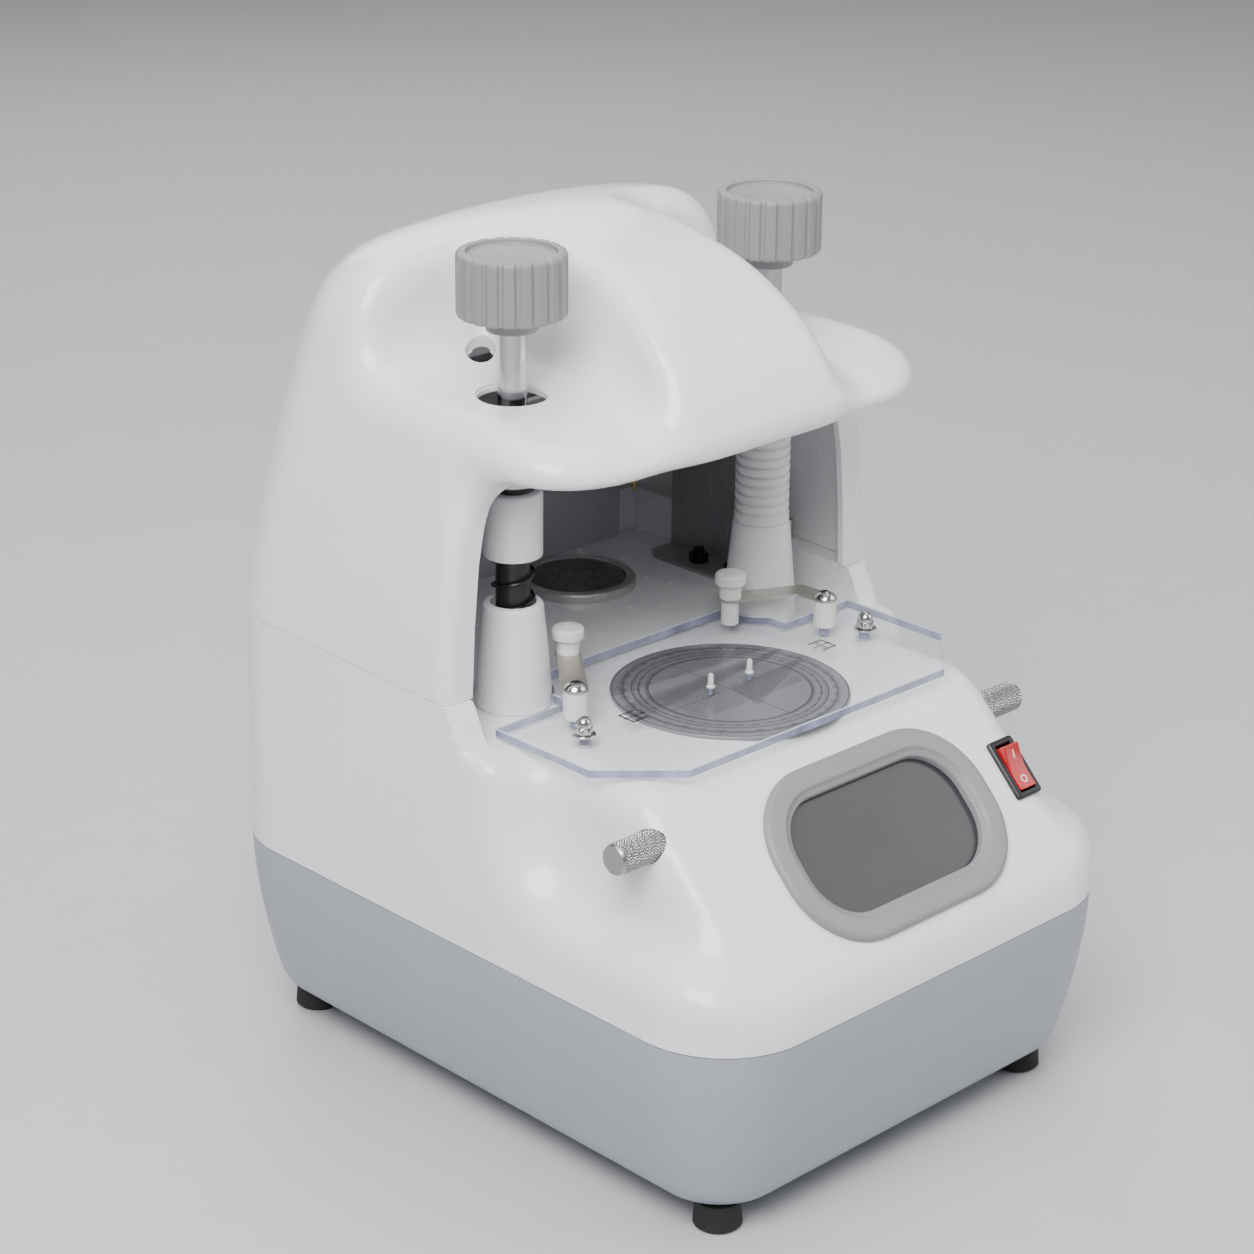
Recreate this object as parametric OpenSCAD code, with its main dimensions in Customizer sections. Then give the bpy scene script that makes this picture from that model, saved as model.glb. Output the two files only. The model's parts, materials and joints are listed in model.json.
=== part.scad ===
// Desk-top lens centring and blocking unit.
// +X is the operator's right, -Y faces the operator, +Z is up, and Z = 0 is the table.
// A lamp in the hood shines down through a lens on the clear plate and its printed scale, a
// mirror in the tub sends the shadow to the sloping window, and two sprung columns carry the
// arms that mark the lens and press the block on to it.

/* [Case] */
// Width of the case at the seam between tub and lower housing
case_w = 248; // [236:1:300]
// Depth of the case at the seam
case_d = 313; // [290:1:340]
// Corner radius of the case in plan
case_r = 42; // [34:1:48]
// Height of the rubber feet
foot_h = 12; // [9:1:16]
// Radius of a rubber foot
foot_r = 10; // [8:0.5:12]
// Distance of the feet from the sides of the case
foot_inset = 27; // [25:1:34]
// Height of the seam between tub and lower housing
seam_z = 89; // [80:1:96]
// How far the tub draws in at its bottom
tub_inset = 13.8; // [8:0.2:18]
// Wall of the moulded shells
wall = 3; // [2.5:0.25:4]

/* [Lower housing] */
// Height of the working deck
deck_z = 175; // [168:1:180]
// Height of the rim on which the hood stands
rim_z = 193; // [186:1:198]
// Width of the rim at the sides
rim_w = 13; // [11:1:15]
// Depth of the bay under the hood, from the side walls' front face to its back
bay_depth = 134; // [130:1:140]
// Distance between the front of the deck and the front of the case
face_run = 68.5; // [60:0.5:76]
// Height at which the sloping face starts
face_z = 107; // [102:1:112]
// Depth of the scooped recess in each side
recess_depth = 22; // [16:1:26]
// Height of the recess's lower lip
recess_z = 119; // [112:1:126]

/* [Hood] */
// Height of the crown
crown_z = 361; // [350:1:372]
// Height of the two shelves that the columns come up through
shelf_z = 307; // [303:1:312]
// Height of the visor's lower edge
visor_z = 286; // [284:1:289]
// How far the visor stands out in front of the side walls
visor_reach = 62; // [56:1:68]
// Half width of the nose between the shelves
nose_w = 37; // [34:1:42]
// Where the shelves end and the crown begins
shelf_back = 70; // [64:1:76]
// Radius of the hole around each column
column_hole_r = 14; // [12:0.5:16]

/* [Columns and arms] */
// Sideways distance of each column from the middle
column_x = 73; // [70:0.5:76]
// Distance of the columns behind the side walls' front face
column_y = 16; // [12:0.5:20]
// Radius of the chrome shafts
shaft_r = 6; // [5:0.5:7]
// Running clearance of shafts, cores and hinge screws
run = 0.05; // [0.03:0.01:0.08]
// Wall of the black core tube that each shaft slides in
core_wall = 1.1; // [1:0.1:1.6]
// Radius of the posts at the deck
post_r = 16; // [15:0.5:18]
// Radius of the posts at their top
post_top_r = 12.5; // [12:0.25:14]
// Height of the posts above the deck
post_h = 45; // [40:1:48]
// Height of the underside of the arms
arm_z = 272; // [270:1:274]
// Thickness of the arms
arm_t = 10; // [8:1:10]
// Travel of the blocking press on the left
press_travel = 19; // [14:1:19]
// Travel of the marking press on the right
mark_travel = 29; // [20:1:29]
// Direction in which the arms are parked, from straight out to the side
park = 84; // [82:1:90]
// Radius of the fluted knobs
knob_r = 22.1; // [18:0.1:24]
// Height of the fluted knobs
knob_h = 26; // [20:1:30]
// Height of the underside of the knobs' hubs
hub_z = 334; // [330:1:340]

/* [Plate and scale] */
// Thickness of the clear plate
plate_t = 4; // [3:0.5:5]
// Margin between the clear plate and the side of the case
plate_margin = 19.5; // [14:0.5:26]
// Radius of the printed scale disc
disc_r = 50; // [46:0.5:54]
// Thickness of the printed scale disc
disc_t = 1.5; // [1:0.25:2]
// Distance of the disc's centre in front of the side walls' front face
disc_y = 37; // [35:0.5:40]
// Height of the clip strips above the clear plate
clip_h = 12; // [10:0.5:14]

/* [Window, switch and inlet] */
// Width of the window bezel
bezel_w = 124; // [110:1:128]
// Height of the window bezel along the slope
bezel_h = 76; // [66:1:78]
// Width of the bezel's ring
bezel_ring = 12; // [9:0.5:14]
// Sideways place of the window's centre
window_x = 5; // [0:0.5:6]
// Sideways place of the switch's centre
switch_x = 87; // [85:0.5:90]

/* [Mirror] */
// Tilt of the mirror from level
mirror_tilt = 25; // [20:1:30]
// Length of the mirror along its slope
mirror_len = 92; // [80:1:96]
// Width of the mirror
mirror_w = 108; // [96:1:112]
// Radius of the knurled knobs at the sides
side_knob_r = 6.5; // [5:0.25:7]
// Radius of the cross shaft
cross_r = 3; // [2.5:0.25:3.5]

/* [Hidden] */
$fn = 64;
tiny = 0.01;
gap = 0.3;          // between pieces that move past each other
seat = 0.1;         // under a piece that turns on a flat seat
over = 1;           // how far a cutting shape runs past what it cuts
half_w = case_w / 2;
half_d = case_d / 2;

// ---- smooth fields of the two moulded covers: negative inside, about millimetres ----
function smax(a, b, k) = let (h = max(k - abs(a - b), 0) / k) max(a, b) + h * h * k / 4;
function round_in(x, y, w, rear, front, r_rear, r_front) =
    let (r = y > 0 ? r_rear : r_front,
         qx = abs(x) - (w - r),
         qy = y > 0 ? y - (rear - r) : -y - (front - r))
    norm([max(qx, 0), max(qy, 0)]) + min(max(qx, qy), 0) - r;

// lower housing
deck_front = half_d - face_run;               // distance of the deck's front edge in front
slope = atan2(deck_z - 3 - face_z, face_run - 4.5);
slope_n = [0, -sin(slope), cos(slope)];
face_point = [0, -deck_front, deck_z - 3];
recess_y = 30;                                // the recess starts this far in front
recess_x = half_w - recess_depth;
step_run = 12;                                // length of the foot in front of the rim
rear_lean = 1.5;                              // how far the back leans in up to the rim
function rear_at(z) = half_d - rear_lean * (z - seam_z) / (rim_z - seam_z);
function ramp(t) = let (c = min(max(t, 0), 1)) c * c * (3 - 2 * c);
function low_top(y) = deck_z + (rim_z - deck_z) * ramp((y + step_run) / step_run) + 40 * ramp((y + 2) / 6);
function low_field(p) =
    let (plan = round_in(p.x, p.y, half_w, rear_at(p.z), half_d, case_r, case_r),
         top = p.z - low_top(p.y),
         face = (p - face_point) * slope_n,
         body = smax(smax(smax(plan, top, 1 + 6 * ramp(-p.y / 16)), face, 10), seam_z - 30 - p.z, 1),
         corner = smax(p.y + recess_y, recess_z - p.z, 46),
         recess = smax(corner, recess_x - abs(p.x), 20))
    smax(body, -recess, 16);
low_centre = [0, 10, 100];

// hood
hood_lean = 0.0008;
rear_slope = 0.215;
function hood_w(z) = let (d = max(z - rim_z, 0)) half_w - 0.03 * d - hood_lean * d * d;
function hood_rear(z) = let (d = max(z - rim_z, 0)) rear_at(rim_z) - rear_slope * d * d / (d + 15);
nose_drop = 37;
nose_run = 103;
function crown_at(x, y) = crown_z - nose_drop * pow(max(60 - y, 0) / nose_run, 2.9)
    - 5 * pow(max(y - 65, 0) / 50, 2) - 5 * pow(x / 75, 2);
function nose_at(y) = nose_w + 0.155 * max(10 - y, 0) + 0.1 * max(y - 10, 0);
function shelf_at(y) = shelf_z + 0.06 * max(y - 16, 0) - 0.0035 * pow(min(y, 0), 2);
function hood_field(p) =
    let (plan = round_in(p.x, p.y, hood_w(p.z), hood_rear(p.z), visor_reach, case_r, case_r + 3),
         body = smax(smax(plan, p.z - crown_at(p.x, p.y), 26), rim_z - 30 - p.z, 1),
         floor_wall = smax(shelf_at(p.y) - p.z, p.y - shelf_back, 24),
         scoop = smax(floor_wall, nose_at(p.y) - abs(p.x), 22))
    smax(body, -scoop, 14);
hood_centre = [0, 85, 215];

// distance along a ray from the centre to the field's surface, by halving
function reach(f, c, d, t, lo, hi, n) =
    let (m = (lo + hi) / 2)
    n == 0 ? m : ((f == 0 ? low_field(c + d * m) : hood_field(c + d * m)) + t > 0
        ? reach(f, c, d, t, lo, m, n - 1) : reach(f, c, d, t, m, hi, n - 1));

// closed skin of a field, drawn in by t, seen from its centre
module skin(f, c, t, around, rows) {
    function way(i, j) = let (a = 360 * i / around, e = -90 + 180 * j / rows)
        [cos(e) * cos(a), cos(e) * sin(a), sin(e)];
    function at(d) = c + d * reach(f, c, d, t, 0, 300, 14);
    points = concat([at([0, 0, -1])],
        [for (j = [1 : rows - 1]) for (i = [0 : around - 1]) at(way(i, j))],
        [at([0, 0, 1])]);
    top = len(points) - 1;
    ring = function (j, i) 1 + (j - 1) * around + (i % around);
    polyhedron(points, concat(
        [for (i = [0 : around - 1]) [0, ring(1, i), ring(1, i + 1)]],
        [for (j = [1 : rows - 2]) for (i = [0 : around - 1])
            each [[ring(j, i), ring(j + 1, i), ring(j + 1, i + 1)],
                  [ring(j, i), ring(j + 1, i + 1), ring(j, i + 1)]]],
        [for (i = [0 : around - 1]) [top, ring(rows - 1, i + 1), ring(rows - 1, i)]]));
}

module low_skin(t, around, rows) skin(0, low_centre, t, around, rows);
module hood_skin(t, around, rows) skin(1, hood_centre, t, around, rows);

// ---- shared shapes ----
module box(low, high) translate(low) cube(high - low);
module both_sides() { children(); mirror([1, 0, 0]) children(); }
module tube(r_out, r_in, z0, z1) translate([0, 0, z0]) difference() {
    cylinder(r = r_out, h = z1 - z0);
    translate([0, 0, -over]) cylinder(r = r_in, h = z1 - z0 + 2 * over);
}
module rod(r, z0, z1) translate([0, 0, z0]) cylinder(r = r, h = z1 - z0);
module rod_x(r, x0, x1) translate([x0, 0, 0]) rotate([0, 90, 0]) cylinder(r = r, h = x1 - x0);
module round_rect(w, h, r) {
    square([w - 2 * r, h], center = true);
    square([w, h - 2 * r], center = true);
    for (x = [-1, 1]) for (y = [-1, 1]) translate([x * (w / 2 - r), y * (h / 2 - r)]) circle(r = r);
}
module hex(af, h) cylinder(r = af / 2 / cos(30), h = h, $fn = 6);

// solid of the case in plan, with its side profile: [draw-in, height] from bottom to top
module case_solid(profile) {
    z0 = profile[0].y;
    z1 = profile[len(profile) - 1].y;
    run_x = half_w - case_r;
    run_y = half_d - case_r;
    for (m = [0, 1]) mirror([m, 0, 0]) translate([run_x, 0, 0]) rotate([90, 0, 0])
        linear_extrude(2 * run_y, center = true)
            polygon(concat([[0, z0]], [for (p = profile) [case_r - p.x, p.y]], [[0, z1]]));
    rotate([90, 0, 90]) linear_extrude(2 * run_x, center = true)
        polygon(concat([for (p = profile) [half_d - p.x, p.y]],
            [for (i = [len(profile) - 1 : -1 : 0]) [profile[i].x - half_d, profile[i].y]]));
    for (x = [0, 1]) for (y = [0, 1]) mirror([x, 0, 0]) mirror([0, y, 0])
        translate([run_x, run_y, 0]) rotate_extrude(angle = 90)
            polygon(concat([[0, z0]], [for (p = profile) [case_r - p.x, p.y]], [[0, z1]]));
}

// ---- tub, feet and case screws ----
tub_rows = 9;
tub_edge = 7;       // rounded lower edge of the tub
function tub_in(z) = let (s = (z - foot_h) / (seam_z - foot_h)) tub_inset * pow(1 - s, 1.8)
    + tub_edge * pow(max(0, 1 - (z - foot_h) / tub_edge), 2) * 0.8;
tub_levels = concat([for (i = [0 : 3]) foot_h + tub_edge * i / 4],
    [for (i = [0 : tub_rows]) foot_h + tub_edge + (seam_z - foot_h - tub_edge) * i / tub_rows]);
lip_gap = 1.3;
lip_t = 1.5;
lip_h = 3;
post_x = half_w - 36;
post_y = half_d - 40;
boss_r = 5.5;
boss_z = 92;
screw_r = 2;
foot_x = half_w - foot_inset;
foot_y = half_d - foot_inset;
module at_corners(x, y) for (sx = [-1, 1]) for (sy = [-1, 1]) translate([sx * x, sy * y, 0]) children();

module bottom_tub() color("lightsteelblue") difference() {
    union() {
        difference() {
            case_solid([for (z = tub_levels) [tub_in(z), z]]);
            case_solid([for (z = concat([foot_h + wall],
                [for (z = tub_levels) if (z > foot_h + wall + over) z], [seam_z + over]))
                [tub_in(min(z, seam_z)) + wall, z]]);
        }
        difference() {
            case_solid([[wall - 0.5, seam_z - 6], [wall - 0.5, seam_z - 1],
                [wall + lip_gap, seam_z], [wall + lip_gap, seam_z + lip_h]]);
            case_solid([[wall + lip_gap + lip_t, seam_z - 6 - over],
                [wall + lip_gap + lip_t, seam_z + lip_h + over]]);
            box([-case_w, -case_d, seam_z - 0.3], [case_w, -half_d + 14, seam_z + 9]);
        }
        at_corners(post_x, post_y) rod(boss_r, foot_h + tiny, boss_z);
        at_corners(foot_x - 4, foot_y - 4) rod(boss_r, foot_h + tiny, foot_h + 9);
    }
    at_corners(post_x, post_y) {
        rod(screw_r + 0.25, foot_h - over, boss_z + over);
        rod(4.2, foot_h - over, boss_z - 12);
    }
    at_corners(foot_x - 4, foot_y - 4) rod(screw_r, foot_h - over, foot_h + 9 + over);
}

module feet() color("black") at_corners(foot_x - 4, foot_y - 4) difference() {
    rotate_extrude() polygon([[0, 0], [foot_r - 1.5, 0], [foot_r, 1.5], [foot_r - 0.8, foot_h], [0, foot_h]]);
    rod(4.6, -over, 5);
    rod(screw_r + 0.2, 0, foot_h + over);
}

module foot_screws() color("silver") at_corners(foot_x - 4, foot_y - 4) {
    rod(4.2, 2.4, 5);
    rod(screw_r - 0.05, 4.9, foot_h + 8);
}

module case_screws() color("silver") at_corners(post_x, post_y) {
    rod(3.8, boss_z - 16, boss_z - 12);
    rod(screw_r - 0.05, boss_z - 12.1, boss_z + 9);
}

// ---- lower housing ----
disc_c = [0, -disc_y, 0];
tin_r = 24;
tin_h = 4.5;
arm_len = norm([column_x, column_y + disc_y]);
ink_dir = 112;                                 // direction of the ink tin from the right column
tin_c = [column_x + (arm_len - 2) * cos(ink_dir), column_y + (arm_len - 2) * sin(ink_dir), 0];
stud_x = half_w - plate_margin - 21.5;
standoff_x = stud_x - 9;
standoff_y = disc_y - 15;
bay_x = half_w - rim_w;
slope_c = [window_x, -deck_front - 33.5, 0];
face_z_at = deck_z - 3 + tan(slope) * (-33.5);
shaft_y = -(deck_front + 3);
cross_z = deck_z - 19;
bush_x = 84;
bush_l = 8;
bush_r = 5;
opening_w = bezel_w - bezel_ring;
opening_h = bezel_h - bezel_ring;
switch_y = -deck_front - 31;
inlet_x = 62;
inlet_z = 128;
inlet_w = 27.5;
inlet_h = 20;
bolt_y = [56, 78];
frame_x = half_w - 18;
foot_flange = 17.5;
hood_screw_x = half_w - 6.5;
hood_screw_y = [40, 104];

// on the sloping face: x along the case, y up the slope, z out of the face
module on_slope(x, run_y) translate([x, run_y, deck_z - 3 + tan(slope) * (run_y + deck_front)])
    rotate([slope, 0, 0]) children();
module on_window() on_slope(window_x, slope_c.y) children();
module on_switch() on_slope(switch_x, switch_y) children();
module at_cross() translate([0, shaft_y, cross_z]) children();

module lower_housing() color("white") difference() {
    difference() {
        low_skin(0, 76, 32);
        difference() {
            low_skin(wall, 76, 32);
            box([-bay_x - wall, -wall, deck_z - wall], [bay_x + wall, bay_depth + wall, rim_z + 50]);
            box([-case_w, -case_d, rim_z - wall], [case_w, case_d, rim_z + 50]);
            at_corners(half_w - 20, half_d - 24)
                box([-22, -24, boss_z + gap], [22, 24, boss_z + 5]);
            both_sides() box([bush_x, shaft_y - 8, cross_z - 9], [bush_x + bush_l, shaft_y + 8, deck_z]);
        }
    }
    box([-case_w, -case_d, -over], [case_w, case_d, seam_z]);
    box([-case_w, -case_d, rim_z], [case_w, case_d, rim_z + 60]);
    box([-bay_x, -step_run - 24, deck_z], [bay_x, bay_depth, rim_z + 20]);
    translate(disc_c) rod(disc_r - 4, deck_z - 8, deck_z + over);
    translate(tin_c) rod(tin_r + gap, deck_z - 8, deck_z + over);
    both_sides() {
        translate([column_x, column_y, 0]) rod(9.8, deck_z - 8, deck_z + over);
        translate([stud_x, -disc_y, 0]) rod(2.4, deck_z - 8, deck_z + over);
        for (y = bolt_y) translate([frame_x - 8, y, 0]) rod(2.9, deck_z - 8, deck_z + over);
        for (y = hood_screw_y) translate([hood_screw_x, y, 0]) {
            rod(screw_r + 0.2, rim_z - 8, rim_z + over);
            rod(3.4, rim_z - wall - 8, rim_z - wall);
        }
        at_cross() rod_x(side_knob_r + 0.7, bush_x + bush_l + 1.5, half_w);
        at_cross() rod_x(bush_r + 0.1, bush_x - over, bush_x + bush_l + 2);
    }
    at_corners(post_x, post_y) rod(screw_r, boss_z, boss_z + 20);
    on_window() translate([0, 0, -12]) linear_extrude(20) round_rect(opening_w, opening_h, 26);
    on_switch() translate([0, 0, -8]) linear_extrude(16) square([13.6, 25], center = true);
    translate([inlet_x, half_d, inlet_z]) {
        box([-inlet_w / 2 - gap, -12, -inlet_h / 2 - gap], [inlet_w / 2 + gap, over, inlet_h / 2 + gap]);
        box([-25.3, -2.2, -12.3], [25.3, over, 12.3]);
    }
}

// ---- hood ----
front_fillet = 14;
module hood() color("white") difference() {
    difference() {
        hood_skin(0, 76, 32);
        difference() {
            hood_skin(wall, 76, 32);
            both_sides() {
                box([bay_x - 18, -over, rim_z - over], [case_w, wall, visor_z + 8]);
                for (y = hood_screw_y) translate([hood_screw_x, y, 0]) rod(4.5, rim_z - over, rim_z + 12);
            }
        }
    }
    box([-case_w, -case_d, 0], [case_w, case_d, rim_z]);
    // the void in front of the side walls and under the visor
    rotate([90, 0, 90]) linear_extrude(case_w, center = true) {
        polygon([[-case_d, rim_z - over], [0, rim_z - over], [0, visor_z - front_fillet],
            [-front_fillet, visor_z], [-case_d, visor_z]]);
        translate([-front_fillet, visor_z - front_fillet]) circle(r = front_fillet);
    }
    both_sides() {
        translate([column_x, column_y, 0]) rod(column_hole_r, visor_z + 2, crown_z);
        translate([55, 55, 0]) rod(5.5, visor_z + 2, crown_z);
        for (y = hood_screw_y) translate([hood_screw_x, y, 0]) rod(screw_r - 0.3, rim_z - over, rim_z + 10);
    }
    // leaning inner edge of the side walls
    rotate([90, 0, 0]) linear_extrude(2 * wall + 4, center = true)
        polygon([[-bay_x, rim_z - over], [bay_x, rim_z - over], [bay_x - 8, visor_z - 12],
            [bay_x - 14, visor_z + 8.5], [14 - bay_x, visor_z + 8.5], [8 - bay_x, visor_z - 12]]);
}

module hood_screws() color("silver") both_sides() for (y = hood_screw_y)
    translate([hood_screw_x, y, 0]) {
        rod(3, rim_z - wall - 2.6, rim_z - wall - 0.1);
        rod(screw_r - 0.4, rim_z - wall - 0.2, rim_z + 9);
    }

// ---- window, switch, inlet ----
module window_bezel() color("silver") on_window() {
    difference() {
        union() {
            translate([0, 0, 0.15]) linear_extrude(3.05) round_rect(bezel_w, bezel_h, 34);
            translate([0, 0, -5]) linear_extrude(5.2) round_rect(opening_w - 1, opening_h - 1, 25.5);
        }
        translate([0, 0, -6]) linear_extrude(12) round_rect(opening_w - 7, opening_h - 7, 22.5);
        translate([0, 0, 0.8]) linear_extrude(4) round_rect(opening_w - 2, opening_h - 2, 25);
    }
}

module window_glass() color([0.1, 0.1, 0.11]) on_window() translate([0, 0, -4.6]) linear_extrude(2.5)
    round_rect(opening_w - 7.2, opening_h - 7.2, 22.4);

rocker_w = 9.6;
rocker_l = 19.6;
rocker_axis = 1.2;                             // height of the rocker's pivot over the face
module switch_body() color("black") on_switch() difference() {
    union() {
        translate([0, 0, 0.15]) linear_extrude(2.05) square([15, 27], center = true);
        translate([0, 0, -20]) linear_extrude(20.3) square([12.8, 24], center = true);
    }
    translate([0, 0, -9]) linear_extrude(14) square([rocker_w + 0.8, rocker_l + 3], center = true);
    translate([0, 0, rocker_axis - 0.6]) rod_x(1.2 + run, -6, 6);
}

module switch_rocker() color("red") on_switch() translate([0, 0, rocker_axis - 0.6]) rotate([10, 0, 0]) {
    rotate([90, 0, 90]) linear_extrude(rocker_w, center = true) polygon([[-rocker_l / 2, -4.4],
        [-4, -6.4], [4, -6.4], [rocker_l / 2, -4.4], [rocker_l / 2, 4.2], [0, 2.4], [-rocker_l / 2, 4.2]]);
    rod_x(1.2, -5.8, 5.8);
}

module inlet_socket() color("black") translate([inlet_x, half_d - 0.1, inlet_z]) difference() {
    union() {
        box([-25, -2, -12], [25, 0, 12]);
        box([-inlet_w / 2, -22, -inlet_h / 2], [inlet_w / 2, -tiny, inlet_h / 2]);
    }
    box([-12, -17, -8], [12, over, 8]);
    for (x = [-20, 20]) translate([x, 0, 0]) rotate([90, 0, 0]) rod(1.7, -over, 4);
}

module inlet_pins() color("silver") translate([inlet_x, half_d - 0.1, inlet_z])
    for (p = [[-7, 2], [0, -3], [7, 2]]) box([p.x - 1, -17, p.y - 2], [p.x + 1, -4, p.y + 2]);

board_z = foot_h + wall + 8;
module driver_board() color("darkgreen") {
    difference() {
        box([20, 40, board_z], [96, 110, board_z + 1.6]);
        for (x = [25, 91]) for (y = [45, 105]) translate([x, y, 0]) rod(1.6, 0, board_z + 10);
    }
    for (x = [25, 91]) for (y = [45, 105]) translate([x, y, 0]) tube(3, 1.6, foot_h + wall, board_z);
    box([32, 52, board_z + 1.6], [58, 74, board_z + 14]);
    translate([76, 62, 0]) rod(6, board_z + 1.6, board_z + 22);
    translate([76, 88, 0]) rod(5, board_z + 1.6, board_z + 18);
}

module transformer() color("dimgray") translate([-58, 74, foot_h + wall]) {
    box([-30, -18, 0], [30, 18, 6]);
    box([-24, -16, 6], [24, 16, 44]);
    box([-17, -26, 12], [17, 26, 38]);
}

// ---- plate, scale and clips ----
plate_z = deck_z + disc_t;
plate_top = plate_z + plate_t;
plate_half = half_w - plate_margin;
plate_front = -(deck_front + 0.8);
module at_studs() both_sides() translate([stud_x, -disc_y, 0]) children();
module at_standoffs() both_sides() translate([standoff_x, -standoff_y, 0]) children();

module scale_plate() color([0.8, 0.85, 1, 0.4]) difference() {
    translate([0, 0, plate_z]) linear_extrude(plate_t) {
        polygon([[-plate_half, -8], [-plate_half, plate_front + 26.6], [-plate_half + 29, plate_front],
            [plate_half - 29, plate_front], [plate_half, plate_front + 26.6], [plate_half, -8],
            [column_x - 9, -8], [column_x - 9, 22], [9 - column_x, 22], [9 - column_x, -8]]);
    }
    both_sides() translate([column_x, column_y, 0]) rod(post_r + 1, plate_z - over, plate_top + over);
    at_studs() rod(2.3, plate_z - over, plate_top + over);
    at_standoffs() rod(2.2, plate_z - over, plate_top + over);
    for (x = [-11.5, 11.5]) translate([x, -disc_y, 0]) rod(1, plate_z + 1, plate_top + over);
}

module scale_disc() color([0.4, 0.42, 0.45]) translate(disc_c) rod(disc_r, deck_z, deck_z + disc_t);

module lens_pins() color("white") for (x = [-11.5, 11.5]) translate([x, -disc_y, 0]) {
    rod(0.95, plate_z + 1.1, plate_top + tiny);
    translate([0, 0, plate_top]) rotate_extrude() polygon([[0, 0], [1.4, 0], [1.2, 5], [0.5, 6.2], [0, 6.2]]);
}

washer_r = 5;
washer_t = 0.8;
module plate_studs() color("silver") at_studs() {
    rod(1.95, deck_z - 14, plate_top + 5);
    translate([0, 0, deck_z - wall - 5.2]) difference() {
        hex(7, 3.4);
        rod(1.9, -over, 6);
    }
}

module plate_washers() color("silver") at_studs() {
    tube(washer_r, 2.2, deck_z, plate_z);
    tube(washer_r, 2.2, plate_top, plate_top + washer_t);
}

module acorn_nuts() color("silver") at_studs() translate([0, 0, plate_top + washer_t]) difference() {
    union() {
        hex(7, 3);
        rod(3.2, 0, 4);
        translate([0, 0, 4]) sphere(r = 3.2);
    }
    rod(2, -over, 5.2);
    rod(10, -5, 0);
}

standoff_r = 5;
strip_z = plate_top + clip_h + seat;
strip_t = 0.8;
clip_pivot_r = 2.1;
module clip_standoffs() color("ivory") at_standoffs()
    tube(standoff_r, clip_pivot_r + run, plate_top, plate_top + clip_h);

module clip_screws() color("silver") at_standoffs() {
    rod(clip_pivot_r, plate_z + 0.5, strip_z + strip_t + seat + 0.5);
    translate([0, 0, strip_z + strip_t + seat]) difference() {
        intersection() {
            rod(4.4, 0, 3.2);
            translate([0, 0, -4]) sphere(r = 7.4);
        }
        for (a = [0, 90]) rotate([0, 0, a]) box([-2.4, -0.45, 1.9], [2.4, 0.45, 5]);
    }
}

// strip along a list of centre points, one outline mitred at its elbows and round at its ends
strip_w = 10.5;
function left_of(a, b) = let (d = (b - a) / norm(b - a)) [-d.y, d.x];
function miter(a, b) = (a + b) / (1 + a * b);
function turned(v, a) = [v.x * cos(a) - v.y * sin(a), v.x * sin(a) + v.y * cos(a)];
function end_arc(p, v) = [for (a = [0 : 15 : 180]) p + turned(v, -a)];
module strip(points) {
    last = len(points) - 1;
    across = [for (i = [0 : last - 1]) left_of(points[i], points[i + 1]) * strip_w / 2];
    elbows = [for (i = [1 : 1 : last - 1])
        miter(across[i - 1] * 2 / strip_w, across[i] * 2 / strip_w) * strip_w / 2];
    difference() {
        translate([0, 0, strip_z]) linear_extrude(strip_t) polygon(concat(
            end_arc(points[last], across[last - 1]),
            [for (i = [len(elbows) - 1 : -1 : 0]) points[i + 1] - elbows[i]],
            end_arc(points[0], -across[0]),
            [for (i = [0 : 1 : len(elbows) - 1]) points[i + 1] + elbows[i]]));
        translate(points[0]) rod(clip_pivot_r + run, strip_z - over, strip_z + over + strip_t);
        translate(points[last]) rod(3, strip_z - over, strip_z + over + strip_t);
    }
}
right_points = [[standoff_x, -standoff_y], [standoff_x - 1, -8], [44, 6]];
left_points = [[-standoff_x, -standoff_y], [-50, 8]];
module strip_left() color("silver") strip(left_points);
module strip_right() color("silver") strip(right_points);

// nylon knob clamped through the strip
module clip_knob(p) color("ivory") translate([p.x, p.y, 0]) rotate_extrude() polygon([
    [0, plate_top + 0.6], [3.3, plate_top + 0.6], [3.85, plate_top + 1.2], [3.85, strip_z],
    [2.95, strip_z], [2.95, strip_z + strip_t], [4.8, strip_z + strip_t], [4.8, strip_z + 6],
    [6.75, strip_z + 7.2], [6.75, strip_z + 11], [5.6, strip_z + 12.4], [0, strip_z + 12.4]]);
module clip_knob_left() clip_knob(left_points[1]);
module clip_knob_right() clip_knob(right_points[2]);

// ---- posts and columns ----
post_top = deck_z + post_h;
core_r = shaft_r + run + core_wall;
spring_seat = deck_z + 24;
spring_in = core_r + 0.5;
spring_out = spring_in + 1.6;
post_bore = spring_out + 0.3;
stub_r = 9.5;
stub_z = deck_z - 15;
core_top = post_top + 21;
sleeve_r = 12.35;
sleeve_z = post_top + 20;
sleeve_top = sleeve_z + 28;
collar_h = arm_z - sleeve_top;
module at_column(side) translate([side * column_x, column_y, 0]) children();

module posts() color("whitesmoke") for (side = [-1, 1]) at_column(side) difference() {
    union() {
        rotate_extrude() polygon([[0, deck_z], [post_r, deck_z], [post_r - 0.2, deck_z + 8],
            [post_r - 0.8, deck_z + 20], [post_r - 2, deck_z + 32], [post_top_r + 0.8, post_top - 3],
            [post_top_r, post_top - 0.8], [post_top_r - 0.8, post_top], [0, post_top]]);
        rod(stub_r, stub_z, deck_z + tiny);
    }
    rod(core_r + run, stub_z - over, post_top);
    rod(post_bore, spring_seat, post_top + over);
}

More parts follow.
